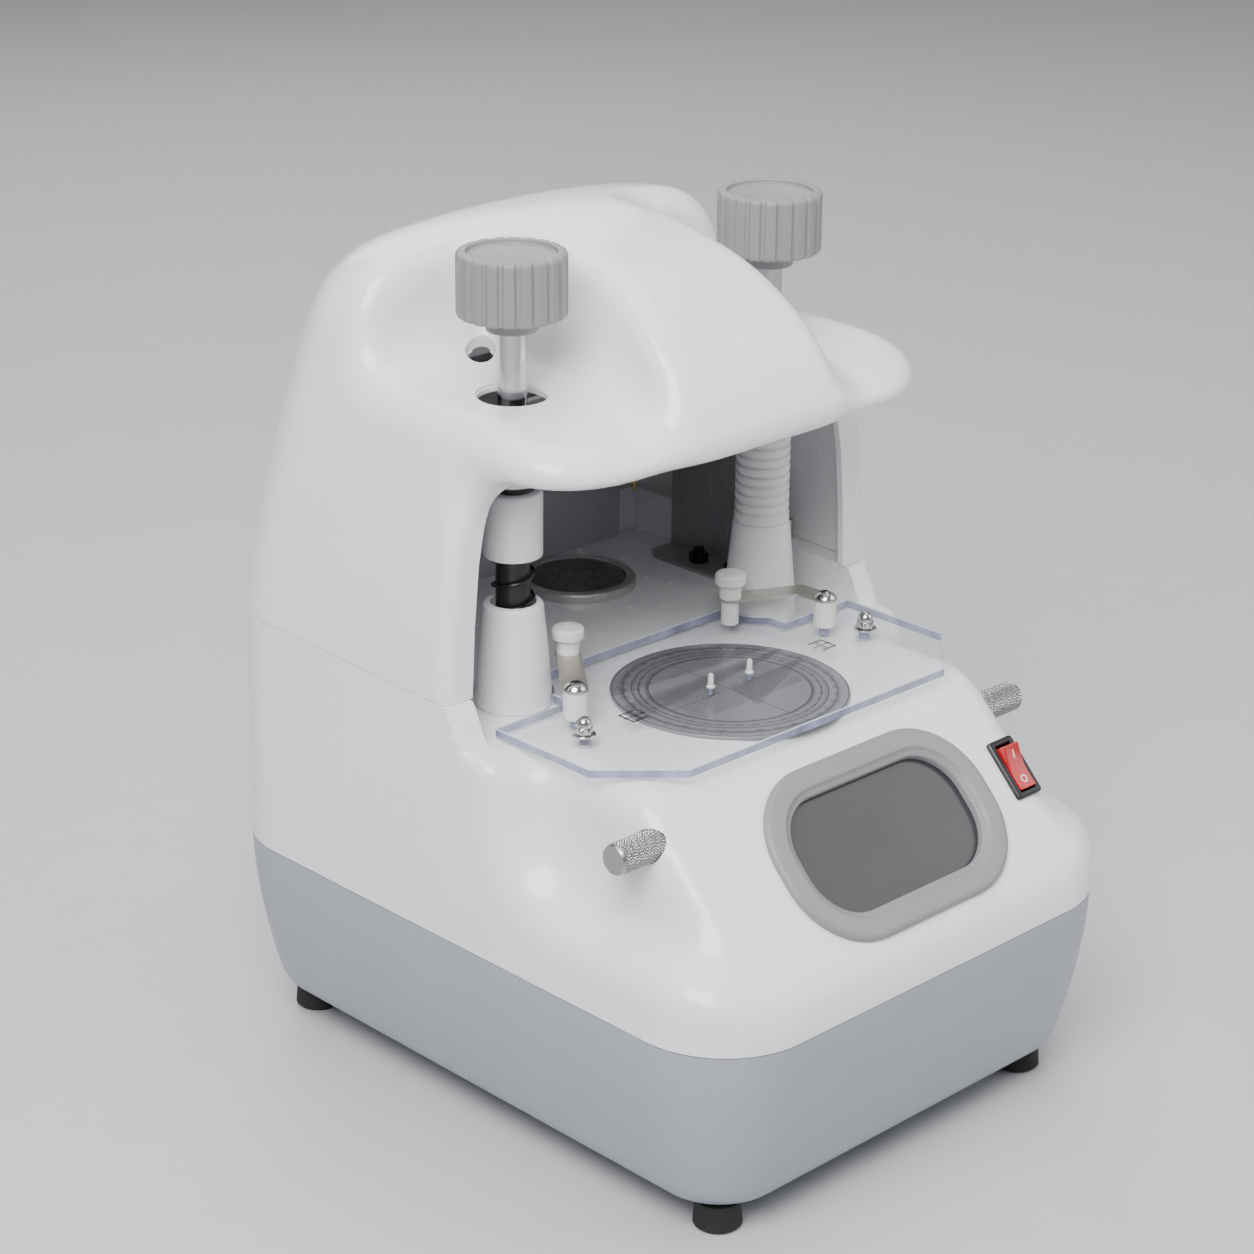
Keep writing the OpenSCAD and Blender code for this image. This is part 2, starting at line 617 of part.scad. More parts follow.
module post_nuts() color("silver") for (side = [-1, 1]) at_column(side) translate([0, 0, deck_z - wall - 6.5])
    difference() {
        hex(28, 6);
        rod(stub_r + run, -over, 8);
    }

// black tube that turns in the post and carries the spring; a rib keys it to its shaft
rib_w = 2;
rib_in = 1.2;
module core() color([0.1, 0.1, 0.1]) difference() {
    union() {
        rod(core_r, stub_z - 4, core_top);
        rod(spring_out - 0.1, spring_seat + seat, spring_seat + 2);
        rod(8.6, stub_z - 4, stub_z - seat);
    }
    difference() {
        rod(shaft_r + run, stub_z - 5, core_top + over);
        box([shaft_r - rib_in, -rib_w / 2, spring_seat], [shaft_r + 2, rib_w / 2, core_top]);
    }
}
module core_left() at_column(-1) core();
module core_right() at_column(1) core();

module spring_left() color([0.15, 0.15, 0.15]) at_column(-1)
    tube(spring_out, spring_in, spring_seat + 2.1, sleeve_top - 6.1);
module spring_right() color([0.15, 0.15, 0.15]) at_column(1)
    tube(spring_out, spring_in, spring_seat + 2.1, arm_z - 0.1);

shaft_low = stub_z - 12;
module shaft(travel) color("gainsboro") difference() {
    rod(shaft_r, shaft_low, hub_z + 18);
    box([shaft_r - rib_in - 0.3, -rib_w / 2 - 0.2, spring_seat - travel - over],
        [shaft_r + over, rib_w / 2 + 0.2, core_top + travel + over]);
}
module shaft_left() at_column(-1) shaft(press_travel);
module shaft_right() at_column(1) shaft(mark_travel);

module sleeve_left() color("whitesmoke") at_column(-1) difference() {
    rotate_extrude() polygon([[0, sleeve_z], [sleeve_r - 0.6, sleeve_z], [sleeve_r, sleeve_z + 0.6],
        [sleeve_r, sleeve_top - 1.5], [sleeve_r - 1.5, sleeve_top], [0, sleeve_top]]);
    rod(spring_out + 0.5, sleeve_z - over, sleeve_top - 6);
    rod(shaft_r + run, sleeve_z, sleeve_top + over);
}

module collar_left() color([0.1, 0.1, 0.1]) at_column(-1)
    tube(spring_out, shaft_r + run, sleeve_top, arm_z);

ribs = 11;
bellows_r = 11.8;
bellows_z = post_top + 0.1;
bellows_pitch = (arm_z - 0.1 - bellows_z - 4) / ribs;
module bellows_right() color("white") at_column(1) difference() {
    rotate_extrude() polygon(concat([[0, bellows_z], [bellows_r + 0.2, bellows_z], [bellows_r + 0.2, bellows_z + 4]],
        [for (i = [0 : ribs - 1]) each [[bellows_r - 1.2, bellows_z + 4 + bellows_pitch * (i + 0.1)],
            [bellows_r, bellows_z + 4 + bellows_pitch * (i + 0.35)],
            [bellows_r, bellows_z + 4 + bellows_pitch * (i + 0.75)]]],
        [[bellows_r - 1.2, arm_z - 0.1], [0, arm_z - 0.1]]));
    rod(spring_out + 0.4, bellows_z - over, arm_z + over);
}

// ---- arms and their heads ----
stem_r = 4;
mark_z = plate_top + 0.5 + mark_travel;        // tips of the marking pins at rest
press_z = plate_top + 12.5 + press_travel;     // underside of the block holder at rest
module arm() color("silver") difference() {
    union() {
        rod(13, arm_z, arm_z + arm_t);
        box([0, -6, arm_z + 1], [arm_len, 6, arm_z + arm_t - 1]);
        translate([arm_len, 0, 0]) rod(9, arm_z, arm_z + arm_t);
    }
    rod(shaft_r + run, arm_z - over, arm_z + arm_t + over);
    translate([arm_len, 0, 0]) rod(stem_r + 0.02, arm_z - over, arm_z + arm_t + over);
}
module on_right_arm() at_column(1) rotate([0, 0, park]) children();
module on_left_arm() mirror([1, 0, 0]) on_right_arm() children();
module arm_right() on_right_arm() arm();
module arm_left() on_left_arm() arm();

module block_holder() color("silver") on_left_arm() translate([arm_len, 0, 0]) {
    rod(stem_r, press_z + 20, arm_z + arm_t + 1);
    rod(6, arm_z - 10, arm_z - tiny);
    rotate_extrude() polygon([[0, press_z + 6], [11, press_z + 6], [11, press_z + 12],
        [7, press_z + 21], [0, press_z + 21]]);
}
module holder_pad() color("dimgray") on_left_arm() translate([arm_len, 0, 0]) tube(10, 3.5, press_z, press_z + 6);

swing = 180 + atan2(column_y + disc_y, column_x) - park;   // from parked to over the disc
pin_step = 8;
module marker_head() color("silver") on_right_arm() translate([arm_len, 0, 0]) difference() {
    union() {
        rod(stem_r, mark_z + 19, arm_z + arm_t + 1);
        rod(6, arm_z - 10, arm_z - tiny);
        rod(7, mark_z + 19.9, mark_z + 26);
        rotate([0, 0, -park - swing]) translate([0, 0, mark_z + 12]) linear_extrude(8)
            round_rect(2 * pin_step + 9, 11, 4);
    }
    rotate([0, 0, -park - swing]) for (i = [-1 : 1]) translate([i * pin_step, 0, 0])
        rod(1.5, mark_z + 11, mark_z + 17);
}
module marker_pins() color("gold") on_right_arm() translate([arm_len, 0, 0]) rotate([0, 0, -park - swing])
    for (i = [-1 : 1]) translate([i * pin_step, 0, 0]) rotate_extrude()
        polygon([[0, mark_z], [0.5, mark_z], [1.45, mark_z + 4], [1.45, mark_z + 16.9], [0, mark_z + 16.9]]);

// ---- fluted knobs ----
flutes = 20;
knob_z = hub_z + 6;
module knob() color("lightgray") difference() {
    union() {
        rotate_extrude() polygon([[0, knob_z], [knob_r - 1, knob_z], [knob_r, knob_z + 1],
            [knob_r, knob_z + knob_h - 1.5], [knob_r - 1.5, knob_z + knob_h], [0, knob_z + knob_h]]);
        rod(10.5, hub_z, knob_z + tiny);
    }
    for (i = [0 : flutes - 1]) rotate([0, 0, 360 * i / flutes]) translate([knob_r + 0.3, 0, knob_z - over])
        cylinder(r = 1.2, h = knob_h + 2 * over, $fn = 16);
    rod(knob_r - 4.4, knob_z + knob_h - 1.5, knob_z + knob_h + over);
    rod(shaft_r + run, hub_z - over, hub_z + 18);
}
module knob_left() at_column(-1) knob();
module knob_right() at_column(1) knob();

// ---- ink tin ----
module ink_tin() color("silver") translate(tin_c) difference() {
    union() {
        rod(tin_r + 2.5, deck_z, deck_z + tin_h - 1);
        rod(tin_r + 1.5, deck_z, deck_z + tin_h);
        rod(tin_r, deck_z - 6, deck_z + tiny);
    }
    rod(tin_r - 2, deck_z - 5, deck_z + tin_h + over);
}
module ink_felt() color([0.15, 0.15, 0.16]) translate(tin_c) rotate_extrude() polygon([[0, deck_z - 4.9],
    [tin_r - 2.1, deck_z - 4.9], [tin_r - 2.1, deck_z + tin_h - 1], [tin_r - 3.5, deck_z + tin_h + 0.4],
    [tin_r - 5, plate_top + 0.2], [0, plate_top + 0.2]]);

// ---- inner frame and lamp ----
sheet = 1.5;
frame_y = [45, 104];
frame_top = 290;
module side_frames() color("gray") both_sides() difference() {
    union() {
        box([frame_x, frame_y[0], deck_z], [frame_x + sheet, frame_y[1], frame_top]);
        translate([0, 0, deck_z]) linear_extrude(sheet) polygon([[frame_x + sheet, frame_y[0]],
            [frame_x - foot_flange + 5, frame_y[0]], [frame_x - foot_flange, frame_y[0] + 6],
            [frame_x - foot_flange, frame_y[1] - 6], [frame_x - foot_flange + 5, frame_y[1]],
            [frame_x + sheet, frame_y[1]]]);
        box([frame_x - 15, frame_y[0], frame_top - sheet], [frame_x + sheet, frame_y[1], frame_top]);
    }
    for (y = bolt_y) translate([frame_x - 8, y, 0]) rod(2.6, deck_z - over, deck_z + 2 * sheet);
    for (y = bolt_y) translate([frame_x - 8, y, 0]) rod(2.1, frame_top - 3, frame_top + over);
}

module frame_bolts() color([0.12, 0.12, 0.12]) both_sides() for (y = bolt_y) translate([frame_x - 8, y, 0]) {
    rod(2.5, deck_z - wall - 1, deck_z + 8);
    translate([0, 0, deck_z - wall - 3.6]) hex(8, 3.5);
    translate([0, 0, deck_z + sheet + 0.05]) difference() {
        hex(8, 4);
        rod(2.4, -over, 5);
    }
    rod(2, frame_top - 4, frame_top + sheet + 0.2);
    rod(3.6, frame_top + sheet + 0.05, frame_top + sheet + 2.4);
    translate([0, 0, frame_top - sheet - 3.1]) hex(7, 3);
}

lamp_r = 12;
lamp_z = 284.5;
lamp_top = 302;
module top_plate() color("gray") difference() {
    union() {
        box([-frame_x, frame_y[0], frame_top], [frame_x, frame_y[1], frame_top + sheet]);
        box([-15, -disc_y, frame_top], [15, frame_y[0] + tiny, frame_top + sheet]);
        translate(disc_c) rod(15, frame_top, frame_top + sheet);
    }
    translate(disc_c) rod(lamp_r + 0.1, frame_top - over, frame_top + sheet + over);
    both_sides() for (y = bolt_y) translate([frame_x - 8, y, 0]) rod(2.1, frame_top - over, frame_top + sheet + over);
}

panel_y = bay_depth - 3.5;
module back_panel() color("dimgray") box([-98, panel_y, deck_z], [98, panel_y + 2, deck_z + 82]);

module lamp_housing() color([0.12, 0.12, 0.12]) translate(disc_c) difference() {
    union() {
        rod(lamp_r, lamp_z, lamp_top);
        rod(15, frame_top + sheet, frame_top + sheet + 1.5);
    }
    rod(lamp_r - 1.5, lamp_z + 1, lamp_top - 1.5);
    rod(lamp_r - 3, lamp_z - over, lamp_z + 2);
}
module led_board() color("white") translate(disc_c) {
    rod(lamp_r - 1.6, lamp_top - 3.2, lamp_top - 1.6);
    rod(2.5, lamp_top - 4.6, lamp_top - 3.2);
}
module condenser_lens() color([0.85, 0.9, 1, 0.4]) translate(disc_c) intersection() {
    rod(lamp_r - 1.6, lamp_z + 1.1, lamp_z + 7);
    translate([0, 0, lamp_z + 6 - 14]) sphere(r = 14);
}

// ---- mirror on its cross shaft ----
knob_end = half_w - 5;
knob_root = half_w - 27;
cross_l = knob_root + 8;
yoke_x = mirror_w / 2 + 8;
mirror_c = [0, -disc_y - 3, 62];
bar_t = 2.5;
module shaft_bushes() color("peru") both_sides() at_cross() difference() {
    rod_x(bush_r, bush_x, bush_x + bush_l);
    rod_x(cross_r + run, bush_x - over, bush_x + bush_l + over);
}
module cross_shaft() color("silver") at_cross() rod_x(cross_r, -cross_l, cross_l);
module side_knobs() color("gainsboro") both_sides() at_cross() difference() {
    union() {
        rod_x(side_knob_r, knob_root, knob_end - 0.8);
        rod_x(side_knob_r - 0.8, knob_end - 0.9, knob_end);
    }
    rod_x(cross_r + 0.02, knob_root - over, knob_root + 9);
}
module on_mirror() translate(mirror_c) rotate([mirror_tilt, 0, 0]) children();
module mirror_frame() color("gray") difference() {
    union() {
        both_sides() {
            at_cross() rod_x(5.5, yoke_x - bar_t - 4, yoke_x);
            translate([yoke_x - bar_t, shaft_y, cross_z]) yoke_bar();
        }
        on_mirror() difference() {
            box([-yoke_x, -mirror_len / 2 - 3, -4], [yoke_x, mirror_len / 2 + 3, 3]);
            box([-mirror_w / 2 - 0.2, -mirror_len / 2 - 0.2, -1], [mirror_w / 2 + 0.2, mirror_len / 2 + 0.2, 4]);
            box([-mirror_w / 2 + 12, -mirror_len / 2 + 12, -5], [mirror_w / 2 - 12, mirror_len / 2 - 12, 0]);
        }
    }
    at_cross() rod_x(cross_r + 0.02, -yoke_x - over, yoke_x + over);
}
// flat bar from the cross shaft down to the mirror's tray
module yoke_bar() {
    drop = [mirror_c.y - shaft_y, mirror_c.z - cross_z];
    rotate([90, 0, 90]) linear_extrude(bar_t) rotate(atan2(drop.y, drop.x))
        translate([0, -5]) square([norm(drop), 10]);
}
module mirror_glass() color("lightblue") on_mirror()
    box([-mirror_w / 2, -mirror_len / 2, -1], [mirror_w / 2, mirror_len / 2, 2]);

bottom_tub();
feet();
foot_screws();
case_screws();
lower_housing();
hood();
hood_screws();
window_bezel();
window_glass();
switch_body();
switch_rocker();
inlet_socket();
inlet_pins();
driver_board();
transformer();
scale_plate();
scale_disc();
lens_pins();
plate_studs();
plate_washers();
acorn_nuts();
clip_standoffs();
clip_screws();
strip_left();
strip_right();
clip_knob_left();
clip_knob_right();
posts();
post_nuts();
core_left();
core_right();
spring_left();
spring_right();
shaft_left();
shaft_right();
sleeve_left();
collar_left();
bellows_right();
arm_left();
arm_right();
block_holder();
holder_pad();
marker_head();
marker_pins();
knob_left();
knob_right();
ink_tin();
ink_felt();
side_frames();
frame_bolts();
top_plate();
back_panel();
lamp_housing();
led_board();
condenser_lens();
shaft_bushes();
cross_shaft();
side_knobs();
mirror_frame();
mirror_glass();
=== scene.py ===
"""Looks of a desk-top lens centring and blocking unit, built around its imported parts.

Lengths in this script are millimetres, in the frame's own axes: +X is the operator's right,
-Y faces the operator and +Z is up. A piece is scaled to metres when its mesh is finished.
"""

import json
import logging
import math
from dataclasses import dataclass, field
from enum import Enum
from typing import Any, Sequence

import bmesh
import bpy
import numpy as np
from mathutils import Matrix, Vector

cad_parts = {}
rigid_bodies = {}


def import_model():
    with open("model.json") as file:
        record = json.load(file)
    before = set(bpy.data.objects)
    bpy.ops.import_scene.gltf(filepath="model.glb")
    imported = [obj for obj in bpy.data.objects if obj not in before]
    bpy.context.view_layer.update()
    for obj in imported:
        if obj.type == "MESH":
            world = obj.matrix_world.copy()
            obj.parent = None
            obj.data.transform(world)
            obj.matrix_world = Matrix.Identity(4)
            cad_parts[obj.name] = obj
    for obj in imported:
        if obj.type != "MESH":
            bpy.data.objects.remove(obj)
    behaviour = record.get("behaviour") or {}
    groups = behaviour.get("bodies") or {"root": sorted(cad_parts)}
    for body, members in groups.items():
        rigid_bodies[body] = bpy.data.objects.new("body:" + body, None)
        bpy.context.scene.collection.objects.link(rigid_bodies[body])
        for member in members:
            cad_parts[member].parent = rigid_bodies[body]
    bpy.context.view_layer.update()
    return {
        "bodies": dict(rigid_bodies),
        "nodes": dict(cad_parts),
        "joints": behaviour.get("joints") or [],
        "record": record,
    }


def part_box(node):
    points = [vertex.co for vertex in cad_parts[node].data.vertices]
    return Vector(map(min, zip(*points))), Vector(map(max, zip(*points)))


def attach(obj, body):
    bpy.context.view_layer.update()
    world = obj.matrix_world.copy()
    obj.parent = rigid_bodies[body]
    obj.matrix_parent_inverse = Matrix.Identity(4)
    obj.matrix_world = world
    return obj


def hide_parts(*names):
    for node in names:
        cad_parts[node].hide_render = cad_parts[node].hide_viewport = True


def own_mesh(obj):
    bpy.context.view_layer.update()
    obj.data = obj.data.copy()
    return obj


MM = 0.001
LOG = logging.getLogger("centring_unit")
FULL_TURN = 2 * math.pi
Colour = tuple[float, float, float]
Profile = Sequence[tuple[float, float]]


class Side(Enum):
    """The two columns, as the operator names them."""

    LEFT = "left"
    RIGHT = "right"


# ---------------------------------------------------------------- shader maths


class Value:
    """An output socket whose operators add the Math nodes that they stand for."""

    def __init__(self, graph: "Graph", socket: bpy.types.NodeSocket) -> None:
        """Keeps the graph, for new nodes, and the socket that is wrapped."""
        self.graph = graph
        self.socket = socket

    def maths(self, operation: str, *others: Any, swap: bool = False) -> "Value":
        """Adds one Math node.

        Args:
            operation: the node's operation.
            others: its other inputs, numbers or values.
            swap: whether this value is the second input.

        Returns:
            The node's result.
        """
        inputs = [self, *others]
        if swap:
            inputs.reverse()
        return self.graph.node("ShaderNodeMath", {"operation": operation}, dict(enumerate(inputs)))

    def __add__(self, other: Any) -> "Value":
        """Sum."""
        return self.maths("ADD", other)

    __radd__ = __add__

    def __mul__(self, other: Any) -> "Value":
        """Product."""
        return self.maths("MULTIPLY", other)

    __rmul__ = __mul__

    def __sub__(self, other: Any) -> "Value":
        """Difference."""
        return self.maths("SUBTRACT", other)

    def __rsub__(self, other: Any) -> "Value":
        """Difference with this value taken away."""
        return self.maths("SUBTRACT", other, swap=True)

    def __truediv__(self, other: Any) -> "Value":
        """Quotient."""
        return self.maths("DIVIDE", other)

    def __lt__(self, other: Any) -> "Value":
        """One where this value is below the other."""
        return self.maths("LESS_THAN", other)

    def __gt__(self, other: Any) -> "Value":
        """One where this value is above the other."""
        return self.maths("GREATER_THAN", other)

    def __abs__(self) -> "Value":
        """Size without sign."""
        return self.maths("ABSOLUTE")

    def at_least(self, other: Any) -> "Value":
        """The larger of two values."""
        return self.maths("MAXIMUM", other)

    def near_whole(self) -> "Value":
        """Distance to the nearest whole number."""
        return abs(self - self.maths("ROUND"))


class Graph:
    """A material's node tree."""

    def __init__(self, name: str) -> None:
        """Starts a material with one Principled shader."""
        self.material = bpy.data.materials.new(name)
        self.material.use_nodes = True
        self.tree = self.material.node_tree
        self.shader = next(n for n in self.tree.nodes if n.type == "BSDF_PRINCIPLED")

    def node(self, kind: str, settings: dict[str, Any], inputs: dict[Any, Any], output: Any = 0) -> Value:
        """Adds any node.

        Args:
            kind: the node's type.
            settings: its properties, set before its sockets.
            inputs: numbers, colours or values, by socket name or place.
            output: the output that is wanted.

        Returns:
            That output.
        """
        node = self.tree.nodes.new(kind)
        for key, value in settings.items():
            setattr(node, key, value)
        for key, value in inputs.items():
            self.feed(node.inputs[key], value)
        return Value(self, node.outputs[output])

    def feed(self, socket: bpy.types.NodeSocket, value: Any) -> None:
        """Links or sets one input socket."""
        if isinstance(value, Value):
            self.tree.links.new(value.socket, socket)
        else:
            socket.default_value = value

    def set(self, **sockets: Any) -> None:
        """Feeds the shader's sockets, named with underscores for spaces."""
        for key, value in sockets.items():
            self.feed(self.shader.inputs[key.replace("_", " ")], value)

    def place(self, centre: Sequence[float] = (0, 0, 0), stretch: Sequence[float] = (1, 1, 1)) -> Value:
        """Object coordinates in millimetres, centred and stretched."""
        here = self.node("ShaderNodeTexCoord", {}, {}, "Object")
        return self.node("ShaderNodeMapping", {}, {
            "Vector": here, "Location": [-c * s for c, s in zip(centre, stretch)],
            "Scale": [s / MM for s in stretch]})

    def parts(self, vector: Value) -> list[Value]:
        """The three components of a vector."""
        split = self.node("ShaderNodeSeparateXYZ", {}, {0: vector}).socket.node
        return [Value(self, out) for out in split.outputs]

    def noise(self, place: Value, size: float, detail: float = 2.0) -> Value:
        """Soft noise whose lumps are about size millimetres across."""
        return self.node("ShaderNodeTexNoise", {}, {"Vector": place, "Scale": 1 / size, "Detail": detail})

    def mix(self, share: Any, first: Any, second: Any) -> Value:
        """Colour between two colours."""
        pad = [c if isinstance(c, Value) else (*c, 1.0) for c in (first, second)]
        node = self.node("ShaderNodeMix", {"data_type": "RGBA"}, {}).socket.node
        self.feed(node.inputs[0], share)
        self.feed(node.inputs[6], pad[0])
        self.feed(node.inputs[7], pad[1])
        return Value(self, node.outputs[2])

    def spread(self, value: Value, low: float, high: float) -> Value:
        """Maps 0.3 to 0.7, the middle of a noise, to low to high."""
        return self.node("ShaderNodeMapRange", {}, {
            "Value": value, "From Min": 0.3, "From Max": 0.7, "To Min": low, "To Max": high})

    def bump(self, height: Value, depth: float) -> Value:
        """A normal from a height of depth millimetres."""
        return self.node("ShaderNodeBump", {}, {"Height": height, "Distance": depth * MM,
                                                "Strength": 1.0},
                         "Normal")


# ---------------------------------------------------------------- finishes


@dataclass(frozen=True)
class Finish:
    """A finish with a fine grain, and colour and gloss that wander a little."""

    colour: Colour
    roughness: float
    metallic: float = 0.0
    coat: float = 0.0
    grain: float = 0.5
    relief: float = 0.004
    wander: float = 0.03

    def material(self, name: str) -> bpy.types.Material:
        """Builds the material under a name."""
        graph = Graph(name)
        self.dress(graph)
        return graph.material

    def tone(self, graph: Graph, place: Value) -> Value:
        """The base colour, with slow drift and faint handling marks."""
        dark = tuple(c * (1 - 2 * self.wander) for c in self.colour)
        drift = graph.spread(graph.noise(place, 38.0, 3.0), 0.0, 1.0)
        return graph.mix(drift, self.colour, dark)

    def dress(self, graph: Graph) -> None:
        """Fills the graph."""
        place = graph.place()
        fine = graph.noise(place, self.grain)
        smear = graph.noise(place, 11.0, 4.0)
        graph.set(
            Base_Color=self.tone(graph, place), Metallic=self.metallic, Coat_Weight=self.coat,
            Coat_Roughness=0.12,
            Roughness=graph.spread(smear, self.roughness * 0.88, self.roughness * 1.14),
            Normal=graph.bump(fine, self.relief))


@dataclass(frozen=True)
class Brushed(Finish):
    """Metal with a grain that runs along one axis."""

    along: int = 0

    def dress(self, graph: Graph) -> None:
        """Adds streaks to colour, gloss and relief."""
        stretch = [1.0, 1.0, 1.0]
        stretch[self.along] = 0.03
        streaks = graph.noise(graph.place(stretch=stretch), self.grain, 5.0)
        dark = tuple(c * 0.72 for c in self.colour)
        graph.set(
            Base_Color=graph.mix(graph.spread(streaks, 0.0, 1.0), self.colour, dark),
            Metallic=self.metallic,
            Roughness=graph.spread(streaks, self.roughness * 0.75, self.roughness * 1.3),
            Normal=graph.bump(streaks, self.relief))


@dataclass(frozen=True)
class Acrylic(Finish):
    """Clear sheet whose sawn edges gather a violet-blue tint, with a painted highlight along their top."""

    edge: Colour = (0.15, 0.155, 0.26)
    top_z: float = 180.5

    def dress(self, graph: Graph) -> None:
        """Tints the edges by which way the surface faces, paints a highlight along their top, and keeps the
        faces clear.
        """
        place = graph.place()
        facing = graph.node("ShaderNodeNewGeometry", {}, {}, "Normal")
        upright = 1 - abs(graph.parts(facing)[2])
        rim = upright > 0.5
        height = graph.parts(place)[2]
        streak = graph.spread(graph.noise(graph.place(stretch=(1, 1, 0.25)), 9.0, 4.0), 0.0, 1.0)
        # painted highlight: a pale line just under the plate's top, on the edge faces only
        painted_highlight = (abs(height - (self.top_z - 0.4)) < 0.35) * 0.8
        edge = graph.mix(streak, self.edge, tuple(c * 2.2 for c in self.edge))
        edge = graph.mix(painted_highlight, edge, (0.86, 0.88, 0.97))
        graph.set(
            Base_Color=graph.mix(rim, self.colour, edge), Roughness=self.roughness,
            Coat_Weight=self.coat, Coat_Roughness=0.02, Alpha=rim * 0.80 + 0.05)


@dataclass(frozen=True)
class DarkGlass(Finish):
    """Smoked window with the faintest haze."""

    def dress(self, graph: Graph) -> None:
        """A dark pane with slow haze and a clear coat."""
        place = graph.place()
        haze = graph.spread(graph.noise(place, 30.0, 3.0), 0.0, 1.0)
        lift = tuple(c * 1.25 + 0.004 for c in self.colour)
        graph.set(Base_Color=graph.mix(haze, self.colour, lift), Coat_Weight=self.coat,
                  Coat_Roughness=0.04,
                  Roughness=graph.spread(haze, self.roughness, self.roughness * 1.2))


@dataclass(frozen=True)
class ScalePrint(Finish):
    """The scale disc: circles, degree ticks, centre lines and a dotted band on smoky film."""

    centre: tuple[float, float, float] = (0.0, -37.0, 0.0)
    rings: tuple[float, ...] = (49.3, 44.6, 41.0, 38.0, 34.0)
    band: float = 15.0
    ink: Colour = (0.012, 0.012, 0.014)
    line: float = 0.24

    def dress(self, graph: Graph) -> None:
        """Draws the print from the distance to the centre, the angle and the two axes."""
        place = graph.place(self.centre)
        x, y, _ = graph.parts(place)
        radius = (x * x + y * y).maths("SQRT")
        degrees = y.maths("ARCTAN2", x) * (180 / math.pi)
        ink = None
        for ring in self.rings:
            mark = abs(radius - ring) < self.line
            ink = mark if ink is None else ink.at_least(mark)
        for step, inner, outer in ((1.0, 44.6, 46.0), (5.0, 44.6, 46.9), (10.0, 44.6, 47.8),
                                   (1.0, 34.0, 35.2), (5.0, 34.0, 36.0), (2.0, 39.6, 41.0)):
            arc = (degrees / step).near_whole() * radius * (step * math.pi / 180)
            mark = (arc < self.line * 0.8) * (radius > inner) * (radius < outer)
            ink = ink.at_least(mark)
        inside = radius < self.rings[-1]
        ink = ink.at_least(((abs(x) < self.line) + (abs(y) < self.line)).at_least(0) * inside)
        row = (y / 1.7).near_whole() < 0.24
        dash = (x / 2.0).near_whole() < 0.26
        dots = row * dash * (abs(y) < self.band) * (radius < self.rings[-1] - 1.5) * (abs(x) < 30)
        ink = ink.at_least(dots * 0.85)
        ink = ink.maths("MINIMUM", 1.0)
        film = graph.mix((abs(y) < self.band) * inside * 0.35, self.colour,
                         tuple(c * 0.72 for c in self.colour))
        film = graph.mix((radius > self.rings[2]) * 0.5, film, tuple(c * 1.15 for c in self.colour))
        graph.set(Base_Color=graph.mix(ink, film, self.ink), Roughness=self.roughness,
                  Coat_Weight=self.coat)


